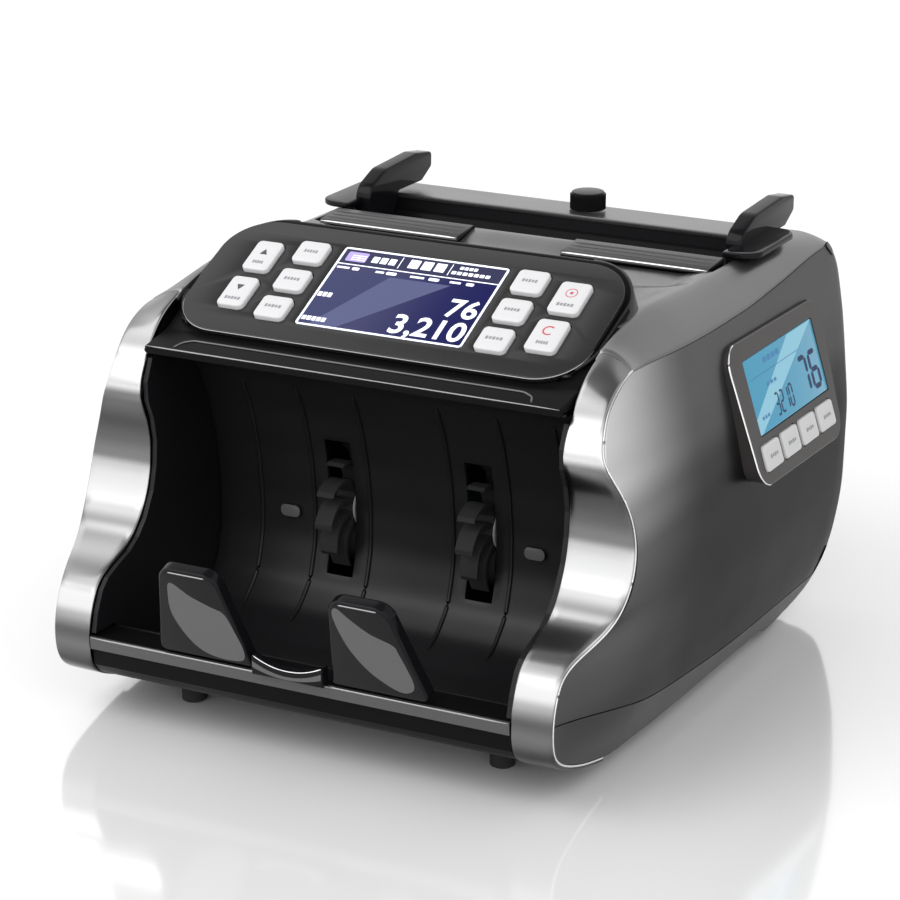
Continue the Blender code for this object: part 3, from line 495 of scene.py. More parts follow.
def tube(name, path, radius, closed=False, sides=8):
    """Round bead along a line of points."""
    path = [Vector(p) for p in path]
    count = len(path)
    verts, faces = [], []
    for i, p in enumerate(path):
        if closed:
            along = path[(i + 1) % count] - path[i - 1]
        else:
            along = path[min(i + 1, count - 1)] - path[max(i - 1, 0)]
        aside = Vector((0, 0, 1)) if abs(along.normalized().z) < 0.9 else Vector((0, 1, 0))
        across = along.cross(aside).normalized()
        up = across.cross(along).normalized()
        taper = 1 if closed or 0 < i < count - 1 else 0.3
        for k in range(sides):
            angle = 2 * math.pi * k / sides
            verts.append(p + (across * math.cos(angle) + up * math.sin(angle)) * radius * taper)
    for i in range(count if closed else count - 1):
        for k in range(sides):
            a, b = i * sides + k, i * sides + (k + 1) % sides
            c, d = ((i + 1) % count) * sides + (k + 1) % sides, ((i + 1) % count) * sides + k
            faces.append((a, b, c, d))
    if not closed:
        faces += [tuple(range(sides))[::-1], tuple((count - 1) * sides + k for k in range(sides))]
    return mesh_from(name, verts, faces)


def lathe(name, profile, axis_yz, steps=48):
    """Turned piece about an axis along X, from (x, radius) pairs. A radius of 0 closes an end."""
    verts, faces, rings = [], [], []
    for x, radius in profile:
        if radius == 0:
            rings.append([len(verts)])
            verts.append((x, *axis_yz))
            continue
        rings.append(list(range(len(verts), len(verts) + steps)))
        for k in range(steps):
            angle = 2 * math.pi * k / steps
            verts.append((x, axis_yz[0] + radius * math.cos(angle), axis_yz[1] + radius * math.sin(angle)))
    for a, b in zip(rings, rings[1:]):
        for k in range(steps):
            m = (k + 1) % steps
            if len(a) == 1:
                faces.append((a[0], b[m], b[k]))
            elif len(b) == 1:
                faces.append((a[k], a[m], b[0]))
            else:
                faces.append((a[k], a[m], b[m], b[k]))
    return mesh_from(name, verts, faces)


def ring_profile(low, high, inner, outer, edge=0.5):
    """Closed (x, radius) loop of a tyre or collar with rounded outer corners."""
    arc = [(math.cos(math.radians(a)), math.sin(math.radians(a))) for a in (0, 30, 60, 90)]
    rise = [(low + edge * (1 - c), outer - edge + edge * s) for c, s in arc]
    fall = [(high - edge * (1 - c), outer - edge + edge * s) for c, s in reversed(arc)]
    return [(low, inner), *rise, *fall, (high, inner), (low, inner)]


def text(name, body, size, matrix, mat, weight=0.0, squeeze=1.0, rides="root"):
    """Digits raised a hair above a surface."""
    curve = bpy.data.curves.new(name, "FONT")
    curve.body, curve.size, curve.extrude, curve.offset = body, size, 0.025, weight
    curve.align_x, curve.resolution_u = "RIGHT", 4
    mesh = curve_mesh(name, curve)
    mesh.transform(matrix @ Matrix.Diagonal((squeeze, 1, 1, 1)))
    return settle(bpy.data.objects.new(name, mesh), mat, rides)


def carve(obj, *tools):
    """Cut closed shapes out of a piece that is still in machine millimetres."""
    for tool in (obj, *tools):
        link(tool)
    for tool in tools:
        cut = obj.modifiers.new("cut", "BOOLEAN")
        cut.operation, cut.object = "DIFFERENCE", tool
    mesh = applied(obj)
    obj.modifiers.clear()
    obj.data = mesh
    bpy.context.scene.collection.objects.unlink(obj)
    for tool in tools:
        bpy.data.objects.remove(tool)
    return obj


def round_edges(obj, width, segments=3, angle=40):
    mod = obj.modifiers.new("edges", "BEVEL")
    mod.width, mod.segments, mod.limit_method = width * MM, segments, "ANGLE"
    mod.angle_limit = math.radians(angle)
    mod.harden_normals = False
    return obj


def dress(node, mat, edge=0.0):
    """Give a CAD node its finish, and round its edges without touching its mesh."""
    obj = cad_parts[node]
    for k in range(len(obj.material_slots)):
        obj.material_slots[k].material = mat
    if not obj.material_slots:
        obj.data.materials.append(mat)
    if edge:
        weld = obj.modifiers.new("weld", "WELD")
        weld.merge_threshold = 0.000005
        round_edges(obj, edge, 2)
    return obj


# ---- case -----------------------------------------------------------------------------------
TRIM_RETURN = 1.3            # how far the trims turn round onto the sides
BEAD_RADIUS = 0.5
TRIM_ROWS = 190
SHELL_WALL = 1.6
TUCK = 0.9                   # how far the shells' rims turn inwards
SEAM_HALF = 0.25             # half the gap between the side shells and the bands below
BELLY = 4.1                  # height of the flat bottom of the bands
RISE_START = 205             # depth at which that bottom starts to rise
DECK_HALF = 92.8             # half width of the flat deck, where the arms begin
SIDES = ((-1, "left"), (1, "right"))


def returned(outer):
    """Share of the return left at each point: it runs out where the trims meet the top cover."""
    gone = np.clip((outer[:, 0] - 56) / (TRIM_REAR - 56), 0, 1) * (outer[:, 1] > 100)
    return 1 - 0.75 * gone * gone * (3 - 2 * gone)


def front_trim(word, side):
    """Silver strip rolled over at both rims, with a bead along its outside whose bright metal is a painted
    highlight.
    """
    inner, outer = trim_edges(TRIM_ROWS)
    share = returned(outer)
    wide = np.array([flare(z) if z < ELBOW else top_width(y) for y, z in outer])
    wide = relaxed(np.stack([wide, wide], axis=1), 20)[:, 0] - ARM_INNER
    rims = [(0.05, 2.3), (0.05, 0.7), (0.17, 0.35), (0.4, 0.12), (0.9, 0)]
    columns = [(np.full(TRIM_ROWS, x), offset(inner, inset)) for x, inset in rims]
    for t in (0.12, 0.24, 0.36, 0.48, 0.6, 0.7, 0.8, 0.88):
        columns.append((0.9 + (wide - 1.8) * t, inner + (outer - inner) * t ** 1.8))
    columns += [(wide - x, offset(outer, inset * share)) for x, inset in
                ((0.9, 0), (0.4, 0.12), (0.17, 0.35), (0.05, 0.7), (0.05, TRIM_RETURN))]
    rows = [[(side * (ARM_INNER + x[k]), *line[k]) for x, line in columns]
            for k in range(TRIM_ROWS)]
    obj = grid(f"{word}_trim_shell", rows, flip=side < 0, thickness=1.2)
    settle(obj, silver, replaces=[f"{word}_front_trim"])
    # Bead along the trim's outer edge, its bright metal a painted highlight.
    line = offset(outer, (TRIM_RETURN + BEAD_RADIUS * 0.8) * share)
    path = [(side * (ARM_INNER + wide[k] - 0.3), *line[k]) for k in range(TRIM_ROWS)]
    settle(tube(f"{word}_trim_highlight_bead", path, BEAD_RADIUS), bead)


def shell_start(count, low, high=TRIM_TOP):
    """Front and top edge of the side shells, just behind the trims."""
    _, outer = trim_edges(count, low, high)
    return offset(outer, (TRIM_RETURN + 2 * BEAD_RADIUS) * returned(outer) + 0.15)


def side_shell(word, side):
    """Upper side shell: its lowest row follows the seam, and its top row the crease."""
    starts = shell_start(170, 38)
    foot, top = starts[0][1], starts[-1][1]
    rows = []
    for y0, z0 in starts:
        low_pull = max(1 - (z0 - foot) / (top - foot), 0) ** 2
        top_pull = max((z0 - 80) / (top - 80), 0) ** 2
        rear = rear_edge(z0) - REAR_ROUND

        def height(y):
            rise = (crease(max(y, y0)) - crease(y0)) * top_pull
            return z0 + (seam(y) + SEAM_HALF - foot) * low_pull + rise

        row = []
        for t in [0, 0.008, 0.02, 0.04] + list(np.linspace(0.07, 1, 26)):
            y = y0 + (rear - y0) * t
            row.append((side * half_width(y, height(y)), y, height(y)))
        for angle in np.radians((12, 24, 36, 48, 60, 72, 84, 90)):
            z = height(rear)
            y = rear_edge(z) - REAR_ROUND + REAR_ROUND * math.sin(angle)
            row.append((side * half_width(y, z), y, z))
        rows.append([(side * (abs(row[0][0]) - TUCK), *row[0][1:])] + row)
    under, over = ([(side * (abs(x) - TUCK), y, z) for x, y, z in row] for row in (rows[0], rows[-1]))
    obj = grid(f"{word}_side_shell", [under] + rows + [over], flip=side < 0, thickness=SHELL_WALL)
    if side > 0:
        middle = np.mean(SIDE_OUTLINE, axis=0)
        grown = [tuple(middle + (np.array(p) - middle) * 1.006) for p in rounded(SIDE_OUTLINE, 9)]
        obj.modifiers["wall"].thickness = SHELL_WALL      # the window is cut in millimetres
        carve(obj, plate("window", [grown], 100, 140, matrix=SIDEWAYS))
    settle(obj, gunmetal, replaces=[f"{word}_side_cover"], sharp=50)


def side_band(word, side):
    """Darker band under the seam, down to the flat bottom, closed off behind the trims."""
    line = shell_start(300, 5, 34)
    rear = smooth([(RISE_START, BELLY), (225, 4.4), (246, 7.4), (258, 13.2), (266, 22), (272, 30)])

    def low(y):
        if y > RISE_START:
            return rear(y)
        return max(float(np.interp(y, line[::-1, 0], line[::-1, 1])), BELLY)

    first = line[-1, 0]
    depths = [*(first + np.geomspace(0.02, 55, 26)), *np.linspace(62, 200, 22),
              *np.linspace(206, 260.5, 15)]
    rows = []
    for w in np.linspace(0, 1, 12):
        row = []
        for y in depths:
            top = seam(y) - SEAM_HALF
            z = top + (min(low(y), top - 0.3) - top) * w
            row.append((side * half_width(y, z), y, z))
        rows.append(row)
    tuck = [(side * (abs(x) - TUCK), y, z) for x, y, z in rows[0]]
    inside = [(side * (abs(x) - 3), y, z) for x, y, z in rows[-1]]
    rows = [tuck] + rows + [inside]
    rows = [[(side * (abs(row[0][0]) - 1.2), *row[0][1:])] + row for row in rows]
    obj = grid(f"{word}_side_band", rows, flip=side > 0, thickness=1.2)
    settle(obj, band_paint, sharp=50)


def top_shell():
    """Deck and two arms: flat between the openings and the crease, turned down at the back."""
    arm = softened([(75, 160.6), (88, 164), (105, 167), (120, 168), (157, 166.5), (181, 165.8),
                    (243, 164.8), (TOP_REAR, 161.8)], 75, TOP_REAR, 30)
    middle = softened([(150, 162.6), (180.6, 163.4), (198, 166.4), (243, 164.8), (TOP_REAR, 161.8)],
                      150, TOP_REAR, 6)
    rim = [(1, -1.6), (1, -0.5), (0.985, 0)]
    slope = [(t, 0) for t in (0.95, 0.88, 0.8, 0.7, 0.6, 0.5, 0.4, 0.3, 0.2, 0.1, 0)]
    inner = [86, 80, 66, 52, 38, TONGUE, 12, 0]
    edges = [157, 180.6, 198, 243]               # of the panel's recess, the lips and the hopper
    even = TRIM_REAR + 0.3 + np.arange(0, TOP_REAR - 75, 3.1)
    depths = sorted([y for y in even if min(abs(y - e) for e in edges) > 1.6] + edges)

    def across(y, z_arm, z_mid):
        wide = top_width(y)
        half = [(DECK_HALF + (wide - DECK_HALF) * t, y,
                 z_arm + (min(crease(y), z_arm) - z_arm) * t ** 1.8 + lift) for t, lift in rim + slope]
        start = 70 if y < 157 else 80
        half += [(x, y, z_mid + (z_arm - z_mid) * max(x - start, 0) / (DECK_HALF - start))
                 for x in inner]
        return [(-x, y, z) for x, y, z in half[:-1]] + half[::-1]

    rows = []
    for y, dip in ((70.5, 2.0), (72.4, 1.0), (TRIM_REAR, 0.25)):      # front edge tucked under the trims
        rows.append([(x, y, z - dip) for x, _, z in across(TRIM_REAR + 0.3, 160.3, middle(150))])
    rows += [across(y, arm(y), middle(max(y, 150))) for y in depths]
    rows += [across(rear_edge(z), z, z) for z in (160.9, 160, 159.2, 158.4, 157, 155.2, 153.4, 151.5)]
    hub = len(rim + slope + inner) - 1

    def opening(i, j):
        lane = abs(j - hub + 0.5)                  # counted in columns from the middle plane
        y = depths[max(i - 3, 0)] if i < len(depths) + 3 else TOP_REAR + 1
        if lane > len(inner):
            return False
        beside_panel = lane > len(inner) - (3 if y > 108 else 2) and y > 92
        return y < 156.9 and not beside_panel or 180.5 < y < 197.9 and lane > 2 or 197.9 < y < 242.9

    obj = grid("top_shell", rows, drop=opening, thickness=2.0)
    settle(obj, top_paint, replaces=["top_cover"], sharp=50)
    round_edges(obj, 0.45, 2, 60)


def rear_panels():
    rows = []
    for z in np.linspace(61.3, 149.6, 30):
        wide = barrel(z) - REAR_ROUND - 0.9
        rows.append([(wide * t, rear_edge(z), z) for t in np.linspace(-1, 1, 25)])
    door = grid("rear_door_shell", rows, flip=True, thickness=2.2)
    settle(door, rear_paint, "rear_cover", ["rear_cover"])
    round_edges(door, 0.6, 3, 50)
    # Painted shade: dark strips stand for the vent slots, which are not cut.
    for k in range(9):
        z = 128.0 - k * 4.2
        place = at(0, rear_edge(z) + 0.15, z) @ UPRIGHT @ Matrix.Rotation(math.pi, 4, "X") @ at(0, 0, -0.5)
        vent = plate(f"rear_vent_{k + 1}", [rbox(0, 0, 92, 1.7, 0.8, 4)], 0, 0.25, matrix=place)
        settle(vent, inner_black_and_slot_shade, "rear_cover")
    # The pull's well is a dark sheet: painted shade in the recess.
    pull, well = (rbox(0, 0, w, h, h / 2 - 0.1, 8) for w, h in ((38, 9), (35, 6.4)))
    place = at(0, rear_edge(139), 139) @ REARWARD
    for name, shapes, proud, mat in (("rim", [pull, well], 0.35, rear_paint),
                                     ("well", [well], 0.05, inner_black_and_slot_shade)):
        settle(plate(f"rear_door_pull_{name}", shapes, -1.5, proud, 0.2, place), mat, "rear_cover")


for _side, _word in SIDES:
    front_trim(_word, _side)
    side_shell(_word, _side)
    side_band(_word, _side)
top_shell()
rear_panels()


# ---- panel and screens ------------------------------------------------------------------------
def panel_shell():
    outer = rounded([(43.8, 142.2), (157, 142.2), (157, 164.9), (124.6, 180.9), (59.6, 148.5),
                     (43.8, 145.4)], [0.5, 2, 2, 4.5, 6, 0.9], 5)
    inner = [(48.6, 130), (154.2, 130), (154.2, 163.0), (126.8, 176.2), (121.8, 176.4), (60.6, 145.6),
             (48.6, 143.4)]
    obj = plate("panel_shell", [outer], -91.9, 91.9, 1.6, SIDEWAYS, 3)
    hollow = plate("hollow", [inner], -89.8, 89.8, matrix=SIDEWAYS)
    window = plate("window", [rbox(0, 0.5, 166, 54, 12)], -10, 10, matrix=panel_frame)

    def outline(out):
        corners = rounded(box_corners(-0.75, 3.5, 181 + 2 * out, 74.4 + 2 * out), 24 + out, 16)
        return [panel_frame @ Vector((x, s, 0)) for x, s in corners]

    def top(y):
        return min(148.2 + (y - 59.6) * 0.498, 180.3 - (y - 124.6) * 0.49)

    ends, edge = [], outline(0)
    for side, word in SIDES:
        corner = [k for k, p in enumerate(edge) if side * p.x > 65 and p.y > 62]
        keep = sorted(corner, key=lambda k: edge[k].y - side * edge[k].x)
        cut = [(edge[k].x, edge[k].y) for k in keep if edge[k].y > 92]
        cut += [(side * 65, 170), (side * 100, 170), (side * 100, cut[0][1])]
        ends.append(plate(f"{word}_end", [cut], 158, 200))
        rows = []
        for line, fall in ((edge, 0), (outline(2), 0.5), (outline(5), 1)):
            row = []
            for k in keep:
                share = min(max((edge[k].y - 58) / 40, 0), 1)
                spot = edge[k].lerp(line[k], share)
                row.append((spot.x, spot.y, top(edge[k].y) + (160 - top(edge[k].y)) * fall * share))
            rows.append(row)
        settle(grid(f"{word}_panel_skirt", rows, flip=side < 0, thickness=1.4), panel_black)
    carve(obj, hollow, window, *ends)
    settle(obj, black, replaces=["panel_housing"], sharp=30)
    # Painted highlight along the housing's lower lip.
    lip = [(x, 43.9, 145.35) for x in (-90.8, 90.8)]
    settle(tube("panel_lip_highlight", resample(lip, 30), 0.28), painted_highlight_metal)
    # A real recess line on the housing's front, drawn as a bead whose lighter grey is a painted highlight
    # along it.
    step = [(-79, 45.2), (-77.5, 50), (-74, 52.6), (72, 52.6), (76.5, 50), (78.6, 44.6)]
    step = resample(rounded(step, [0.1, 3, 4, 5, 3, 0.1], 6), 120)
    path = [(x, y, 145.65 + (y - 44.4) * 0.20) for x, y in step[:-1]]
    settle(tube("panel_step_line", path, 0.4), bezel_edge)


def panel_face():
    rim = rbox(-0.75, 0.5, 179.5, 67, 20, 14)
    x, s, w, h = SCREEN
    holes = [rbox(x, s, w + 0.6, h + 0.6, 1.8)]
    holes += [rbox(x, s, w + 0.8, h + 0.8, 2.6) for x, s, w, h in PANEL_KEYS.values()]
    obj = plate("panel_faceplate", [rim, *holes], -2.5, 0, 0.35, panel_frame)
    settle(obj, panel_black, replaces=["panel_face"], sharp=30)
    # Painted highlight along the face's lower edge.
    line = rbox(-0.75, 0.5, 179.9, 67.4, 20.2, 14)
    lower = [(x, s) for x, s in line if s < -10]
    path = [panel_frame @ Vector((x, s, -0.5)) for x, s in sorted(lower)]
    settle(tube("panel_face_highlight", path, 0.3), painted_highlight_metal)


KEY_MARKS = {   # five short bars stand for each key's word: centre up the slope, width
    "key_up": (-4.4, 5.0), "key_down": (-4.6, 7.2), "key_add": (0, 6.4), "key_menu": (0, 7.2),
    "key_batch": (0, 7.6), "key_currency": (0, 6.8), "key_mode": (0, 6.8), "key_detail": (0, 7.6),
    "key_start": (-4.6, 7.4), "key_clear": (-4.6, 5.2)}


def cushion(name, w, h, low, high, matrix, dome=0.35, radius=2.2):
    """Key cap: rounded outline, softened rim and a slightly crowned top."""
    rings = []
    for inset, z in ((0, low), (0, high - 0.9), (0.12, high - 0.5), (0.4, high - 0.2), (0.9, high - 0.05)):
        ring = rbox(0, 0, w - 2 * inset, h - 2 * inset, max(radius - inset, 0.8), 5)
        rings.append([(x, y, z) for x, y in ring])
    for scale in (0.7, 0.4):
        rings.append([(x * scale, y * scale, high - 0.05 + dome * (1 - scale) * 0.3) for x, y, _ in rings[4]])
    count = len(rings[0])
    verts = [p for ring in rings for p in ring]
    faces = []
    for base in range(0, (len(rings) - 1) * count, count):
        for k in range(count):
            m = (k + 1) % count
            faces.append((base + k, base + m, base + count + m, base + count + k))
    faces += [tuple(range(count))[::-1], tuple(range((len(rings) - 1) * count, len(rings) * count))]
    return mesh_from(name, verts, faces, matrix)


def mark(name, outlines, matrix, mat, rides, thickness=0.08):
    return settle(plate(name, outlines, 0, thickness, matrix=matrix), mat, rides)


def panel_keys():
    for name, (x, s, w, h) in PANEL_KEYS.items():
        place = panel_frame @ at(x, s, 0)
        cap = cushion(f"{name}_cap", w, h, KEY_PROUD - KEY_DEPTH, KEY_PROUD, place)
        settle(cap, key_white, name, [name], 25)
        top = place @ at(0, 0, KEY_PROUD - 0.02)
        drop, width = KEY_MARKS[name]
        bars = [box_corners(-width / 2 + width * (k + 0.5) / 5, drop, width / 5 * 0.72,
                            1.7 - 0.3 * (k % 2)) for k in range(5)]
        mark(f"{name}_word", bars, top, key_mark, name)
        if name in ("key_up", "key_down"):
            tip = 1.6 if name == "key_up" else -1.6
            arrow = [(-1.7, 1.9 - tip), (1.7, 1.9 - tip), (0, 1.9 + tip)]
            mark(f"{name}_arrow", [arrow], top, key_dark, name)
    ring = [circle(0, 2.2, 2.5), circle(0, 2.2, 2.15)]
    top = panel_frame @ at(*PANEL_KEYS["key_start"][:2], KEY_PROUD - 0.02)
    mark("key_start_ring", ring, top, key_red, "key_start")
    mark("key_start_dot", [circle(0, 2.2, 0.75, 24)], top, key_red, "key_start")
    arc = [(2.6 * math.cos(a), 2.2 + 2.6 * math.sin(a)) for a in np.radians(np.linspace(50, 310, 30))]
    arc += [(1.9 * math.cos(a), 2.2 + 1.9 * math.sin(a)) for a in np.radians(np.linspace(310, 50, 30))]
    top = panel_frame @ at(*PANEL_KEYS["key_clear"][:2], KEY_PROUD - 0.02)
    mark("key_clear_arc", [arc], top, key_red, "key_clear")


def panel_screen():
    x, s, w, h = SCREEN
    base = plate("screen_panel", [rbox(0, 0, w, h, 1.6)], -2.2, -0.35, 0.1,
                 panel_frame @ at(x, s, 0))
    settle(base, navy, replaces=["display_screen"])
    face = panel_frame @ at(x, s, -0.35)

    def layer(name, outlines, mat, step):
        return mark(name, outlines, face @ at(0, 0, 0.02 * step), mat, "root", 0.02)

    border = [rbox(0, 0, w - 0.1, h - 0.1, 1.6), rbox(0, 0, w - 2.1, h - 2.1, 0.9)]
    layer("screen_border", border, screen_white, 1)
    left, right, top, low = -w / 2 + 1.05, w / 2 - 1.05, h / 2 - 1.05, -h / 2 + 1.05
    header = [(left, top), (right, top), (right, top - 8.2), (left, top - 8.2)]
    layer("screen_header", [header], navy_light, 1)
    lit = top - 13.2                            # top of the lit part, under the header and status line
    # Painted reflection: two lighter diagonal sheets stand for glare on the screen.
    layer("screen_faint_glare", [[(left, lit), (left, low), (-19, low), (17, lit)]], navy_faint_glare, 1)
    layer("screen_glare", [[(-10, lit), (17, lit), (-19, low), (-31, low)]], navy_glare, 1.5)
    layer("screen_rule", [box_corners(0, top - 8.9, w - 2.2, 0.55)], screen_white, 2)
    layer("screen_badge", [rbox(left + 6.6, top - 4.2, 9.2, 5.6, 0.8)], screen_lilac, 2)
    stripes = [box_corners(left + 7.6, top - 4.2 + d, 6.4, 0.5) for d in (-1.6, -0.4, 0.8)]
    layer("screen_badge_stripes", stripes, screen_white, 3)
    words = []
    for start, width, rise, height, count in (
            (left + 13.2, 11.5, top - 4.4, 3.6, 3), (left + 29.5, 17.5, top - 3.9, 5.0, 3),
            (left + 52, 8.2, top - 2.4, 1.7, 4), (left + 49.5, 17.5, top - 5.5, 1.8, 7)):
        pitch = width / count
        words += [rbox(start + pitch * (k + 0.5), rise, pitch * 0.78, height, 0.25, 3) for k in range(count)]
    layer("screen_words", words, screen_white, 2)
    dividers = [box_corners(left + d, top - 4.2, 0.35, 6.6) for d in (26.3, 48.6)]
    layer("screen_dividers", dividers, screen_white, 2)
    small = [box_corners(left + d, top - 11.1, wide, 1.1) for d, wide in
             ((3.6, 5.6), (20.2, 3.8), (37, 6.2), (54, 4.8))]
    pills = [rbox(left + d, top - 11.1, wide, 1.7, 0.6, 3) for d, wide in
             ((9.2, 3.2), (25.4, 4.6), (44.5, 4.6), (60.5, 3.4))]
    layer("screen_status", small + pills, screen_white, 2)
    captions = [box_corners(left + 1.4 + d * 2.2, low + 17.6, 1.7, 2.6) for d in range(3)]
    captions += [box_corners(left + 1.4 + d * 2.2, low + 3.2, 1.75, 2.4) for d in range(5)]
    layer("screen_captions", captions, screen_white, 2)
    for name, digits, size, rise in (("count", "76", 14.4, 15.2), ("total", "3,210", 15.2, 1.9)):
        text(f"screen_{name}", digits, size, face @ at(right - 0.9, low + rise, 0.04), screen_white, 0.28,
             0.97)


panel_shell()
panel_face()
panel_keys()
panel_screen()


# ---- side display ---------------------------------------------------------------------------
lean_out = Vector((math.cos(SIDE_FACE_LEAN), 0, math.sin(SIDE_FACE_LEAN)))
lean_up = Vector((-math.sin(SIDE_FACE_LEAN), 0, math.cos(SIDE_FACE_LEAN)))
side_axes = Matrix((Vector((0, 1, 0)), lean_up, lean_out)).transposed().to_4x4()
side_frame = at(SIDE_FACE_TOP[0], 0, SIDE_FACE_TOP[1]) @ side_axes      # X along the machine, Y up the face


def side_display():
    """Wedge-shaped bezel whose front edge carries a painted highlight as a bright line, with its screen and
    four keys.
    """
    block = plate("side_bezel", [rounded(SIDE_OUTLINE, 9, 12)], 106.5, 140.5, matrix=SIDEWAYS)
    shave = plate("shave", [box_corners(198, -30, 160, 140)], 0, 40, matrix=side_frame)
    y, drop, w, h = SIDE_SCREEN
    recess = plate("recess", [rbox(y, -drop, w + 0.7, h + 0.7, 0.8, 3)], -2.3, 3, matrix=side_frame)
    tools = [shave, recess]
    for k in range(4):
        well = rbox(SIDE_KEY_FIRST + k * SIDE_KEY_PITCH, -SIDE_KEY_DROP, SIDE_KEY_SIZE[0] + 0.8,
                    SIDE_KEY_SIZE[1] + 0.8, 2, 4)
        tools.append(plate(f"well_{k}", [well], -6, 6, matrix=side_frame))
    carve(block, *tools)
    settle(block, bezel_black, replaces=["side_display_housing"], sharp=30)
    round_edges(block, 0.5, 3, 40)

    face_line = []
    for y, z in rounded(SIDE_OUTLINE, 9, 16):
        up = (z - SIDE_FACE_TOP[1]) / math.cos(SIDE_FACE_LEAN)
        face_line.append(side_frame @ Vector((y, up, -0.45)))
    # Painted highlight: a bright line along the bezel's front edge.
    front = [p for p in face_line if p.y < 163 and p.z > 84]
    front.sort(key=lambda p: -p.z)
    settle(tube("side_bezel_highlight", resample(front, 60), 0.45), bead)
    settle(tube("side_bezel_rim", face_line, 0.3, closed=True), bezel_edge)

    y, drop, w, h = SIDE_SCREEN
    screen = plate("side_screen_panel", [rbox(y, -drop, w, h, 1.0, 3)], -2.0, -0.3, 0.1, side_frame)
    settle(screen, cyan, replaces=["side_display_screen"])
    face = side_frame @ at(y, -drop, -0.3)

    def layer(name, outlines, mat, step):
        return mark(name, outlines, face @ at(0, 0, 0.02 * step), mat, "root", 0.02)

    left, right, top, low = -w / 2 + 0.3, w / 2 - 0.3, h / 2 - 0.3, -h / 2 + 0.3
    # Painted reflection: a lighter sheet stands for glare on the side screen.
    glare = [(right - 0.5, top), (10, top), (left, low + 6.5), (left, low), (left + 2.5, low)]
    layer("side_glare", [glare], cyan_glare, 1)
    words = [box_corners(start + k * pitch, height, wide, tall) for start, pitch, height, wide, tall, count in
             ((-16, 4.4, top - 3.8, 3.2, 2.2, 4), (-18, 3.6, top - 13.5, 2.6, 1.4, 3),
              (-30, 2.8, low + 5.5, 2.0, 1.4, 3)) for k in range(count)]
    layer("side_words", words, segment_faint, 2)
    layer("side_rule", [box_corners(-8, top - 8.3, 52, 0.3)], segment_faint, 2)
    segments("side_count", "76", 7.0, 14.6, 2.1, face @ at(14.2, -11.6, 0.05))
    segments("side_total", "3210", 3.0, 8.8, 0.95, face @ at(-15.2, -12.4, 0.05))
    for k in range(4):
        name = f"side_key_{k + 1}"
        place = side_frame @ at(SIDE_KEY_FIRST + k * SIDE_KEY_PITCH, -SIDE_KEY_DROP, 0)
        cap = cushion(f"{name}_cap", *SIDE_KEY_SIZE, SIDE_KEY_PROUD - 5.5, SIDE_KEY_PROUD, place, radius=1.8)
        settle(cap, key_grey, name, [name], 25)
        bars = [box_corners(-3 + 2 * i, 0, 1.5, 1.6 - 0.4 * (i % 2)) for i in range(4)]
        mark(f"{name}_word", bars, place @ at(0, 0, SIDE_KEY_PROUD - 0.02), key_mark, name)


SEGMENTS = {"0": "abcdef", "1": "bc", "2": "abged", "3": "abgcd", "6": "acdefg", "7": "abc"}


def segments(name, digits, width, height, weight, matrix):
    """Seven-segment figures, their strokes lettered a to g from the top round to the middle."""
    half = height / 2
    bars = {"a": ((0.5, height), True), "b": ((1, half * 1.5), False), "c": ((1, half * 0.5), False),
            "d": ((0.5, 0), True), "e": ((0, half * 0.5), False), "f": ((0, half * 1.5), False),
            "g": ((0.5, half), True)}
    outlines = []
    for k, digit in enumerate(digits):
        for stroke in SEGMENTS[digit]:
            (u, v), flat = bars[stroke]
            x = k * (width + weight * 1.9) + u * width
            long = (width if flat else half) / 2 - 0.15 * weight
            wide = weight / 2
            spike = [(-long, 0), (-long + wide, -wide), (long - wide, -wide), (long, 0),
                     (long - wide, wide), (-long + wide, wide)]
            outlines.append([(x + a, v + b) if flat else (x + b, v + a) for a, b in spike])
    mark(name, outlines, matrix, segment_blue, "root", 0.03)


side_display()


# ---- stacker pocket -------------------------------------------------------------------------
def turned_out(outline, side):
    """Mirror an outline drawn for the right-hand side."""
    return [(side * x, y) for x, y in outline][::side]


SLOT_HALF = 6                # half the width of the slots that the finger wheels reach through


def pocket():
    path = [(17.8, 36.4), (19.2, 31.8), (25, 27.8), (40, 24), (62, 23), (80, 27.5), (91.5, 38.5),
            (96.5, 55), (96.8, 72), (94.2, 92), (88.5, 112), (80.5, 128), (71, 136.5), (60, 139.8),
            (50.2, 140.4)]                                                           # depth, height
    path = resample(relaxed(resample(path, 120), 6), 90)
    slot_edges = [s * (WHEEL_X + d) for s in (-1, 1) for d in (-SLOT_HALF, SLOT_HALF)]
    across = sorted([-90.4, 90.4, *np.arange(-84, 85, 7.0)] + slot_edges)
    rows = [[(x, y, z) for x in across] for y, z in path]

    def slots(i, j):
        x, z = (across[j] + across[j + 1]) / 2, path[i][1]
        return abs(abs(x) - WHEEL_X) < SLOT_HALF and 41 < z < 99 and path[i][0] > 80

    liner = grid("pocket_shell", rows, drop=slots, thickness=1.8)
    settle(liner, pocket_black, replaces=["pocket_liner"], sharp=50)
    round_edges(liner, 0.35, 2, 60)
    for side, word in SIDES:
        for k, x in enumerate((WHEEL_X - 13, WHEEL_X + 13, 70)):
            bead_path = [(side * x, y - 0.2, z) for y, z in path[26:74]]
            settle(tube(f"{word}_pocket_rib_{k + 1}", bead_path, 0.9), pocket_black)
        lens = plate(f"{word}_sensor_window", [rbox(side * 56, 0, 9, 5, 2.2)], 0, 0.5, 0.15,
                     at(0, 95.2, 66) @ UPRIGHT)
        settle(lens, window_and_reflection_grey)


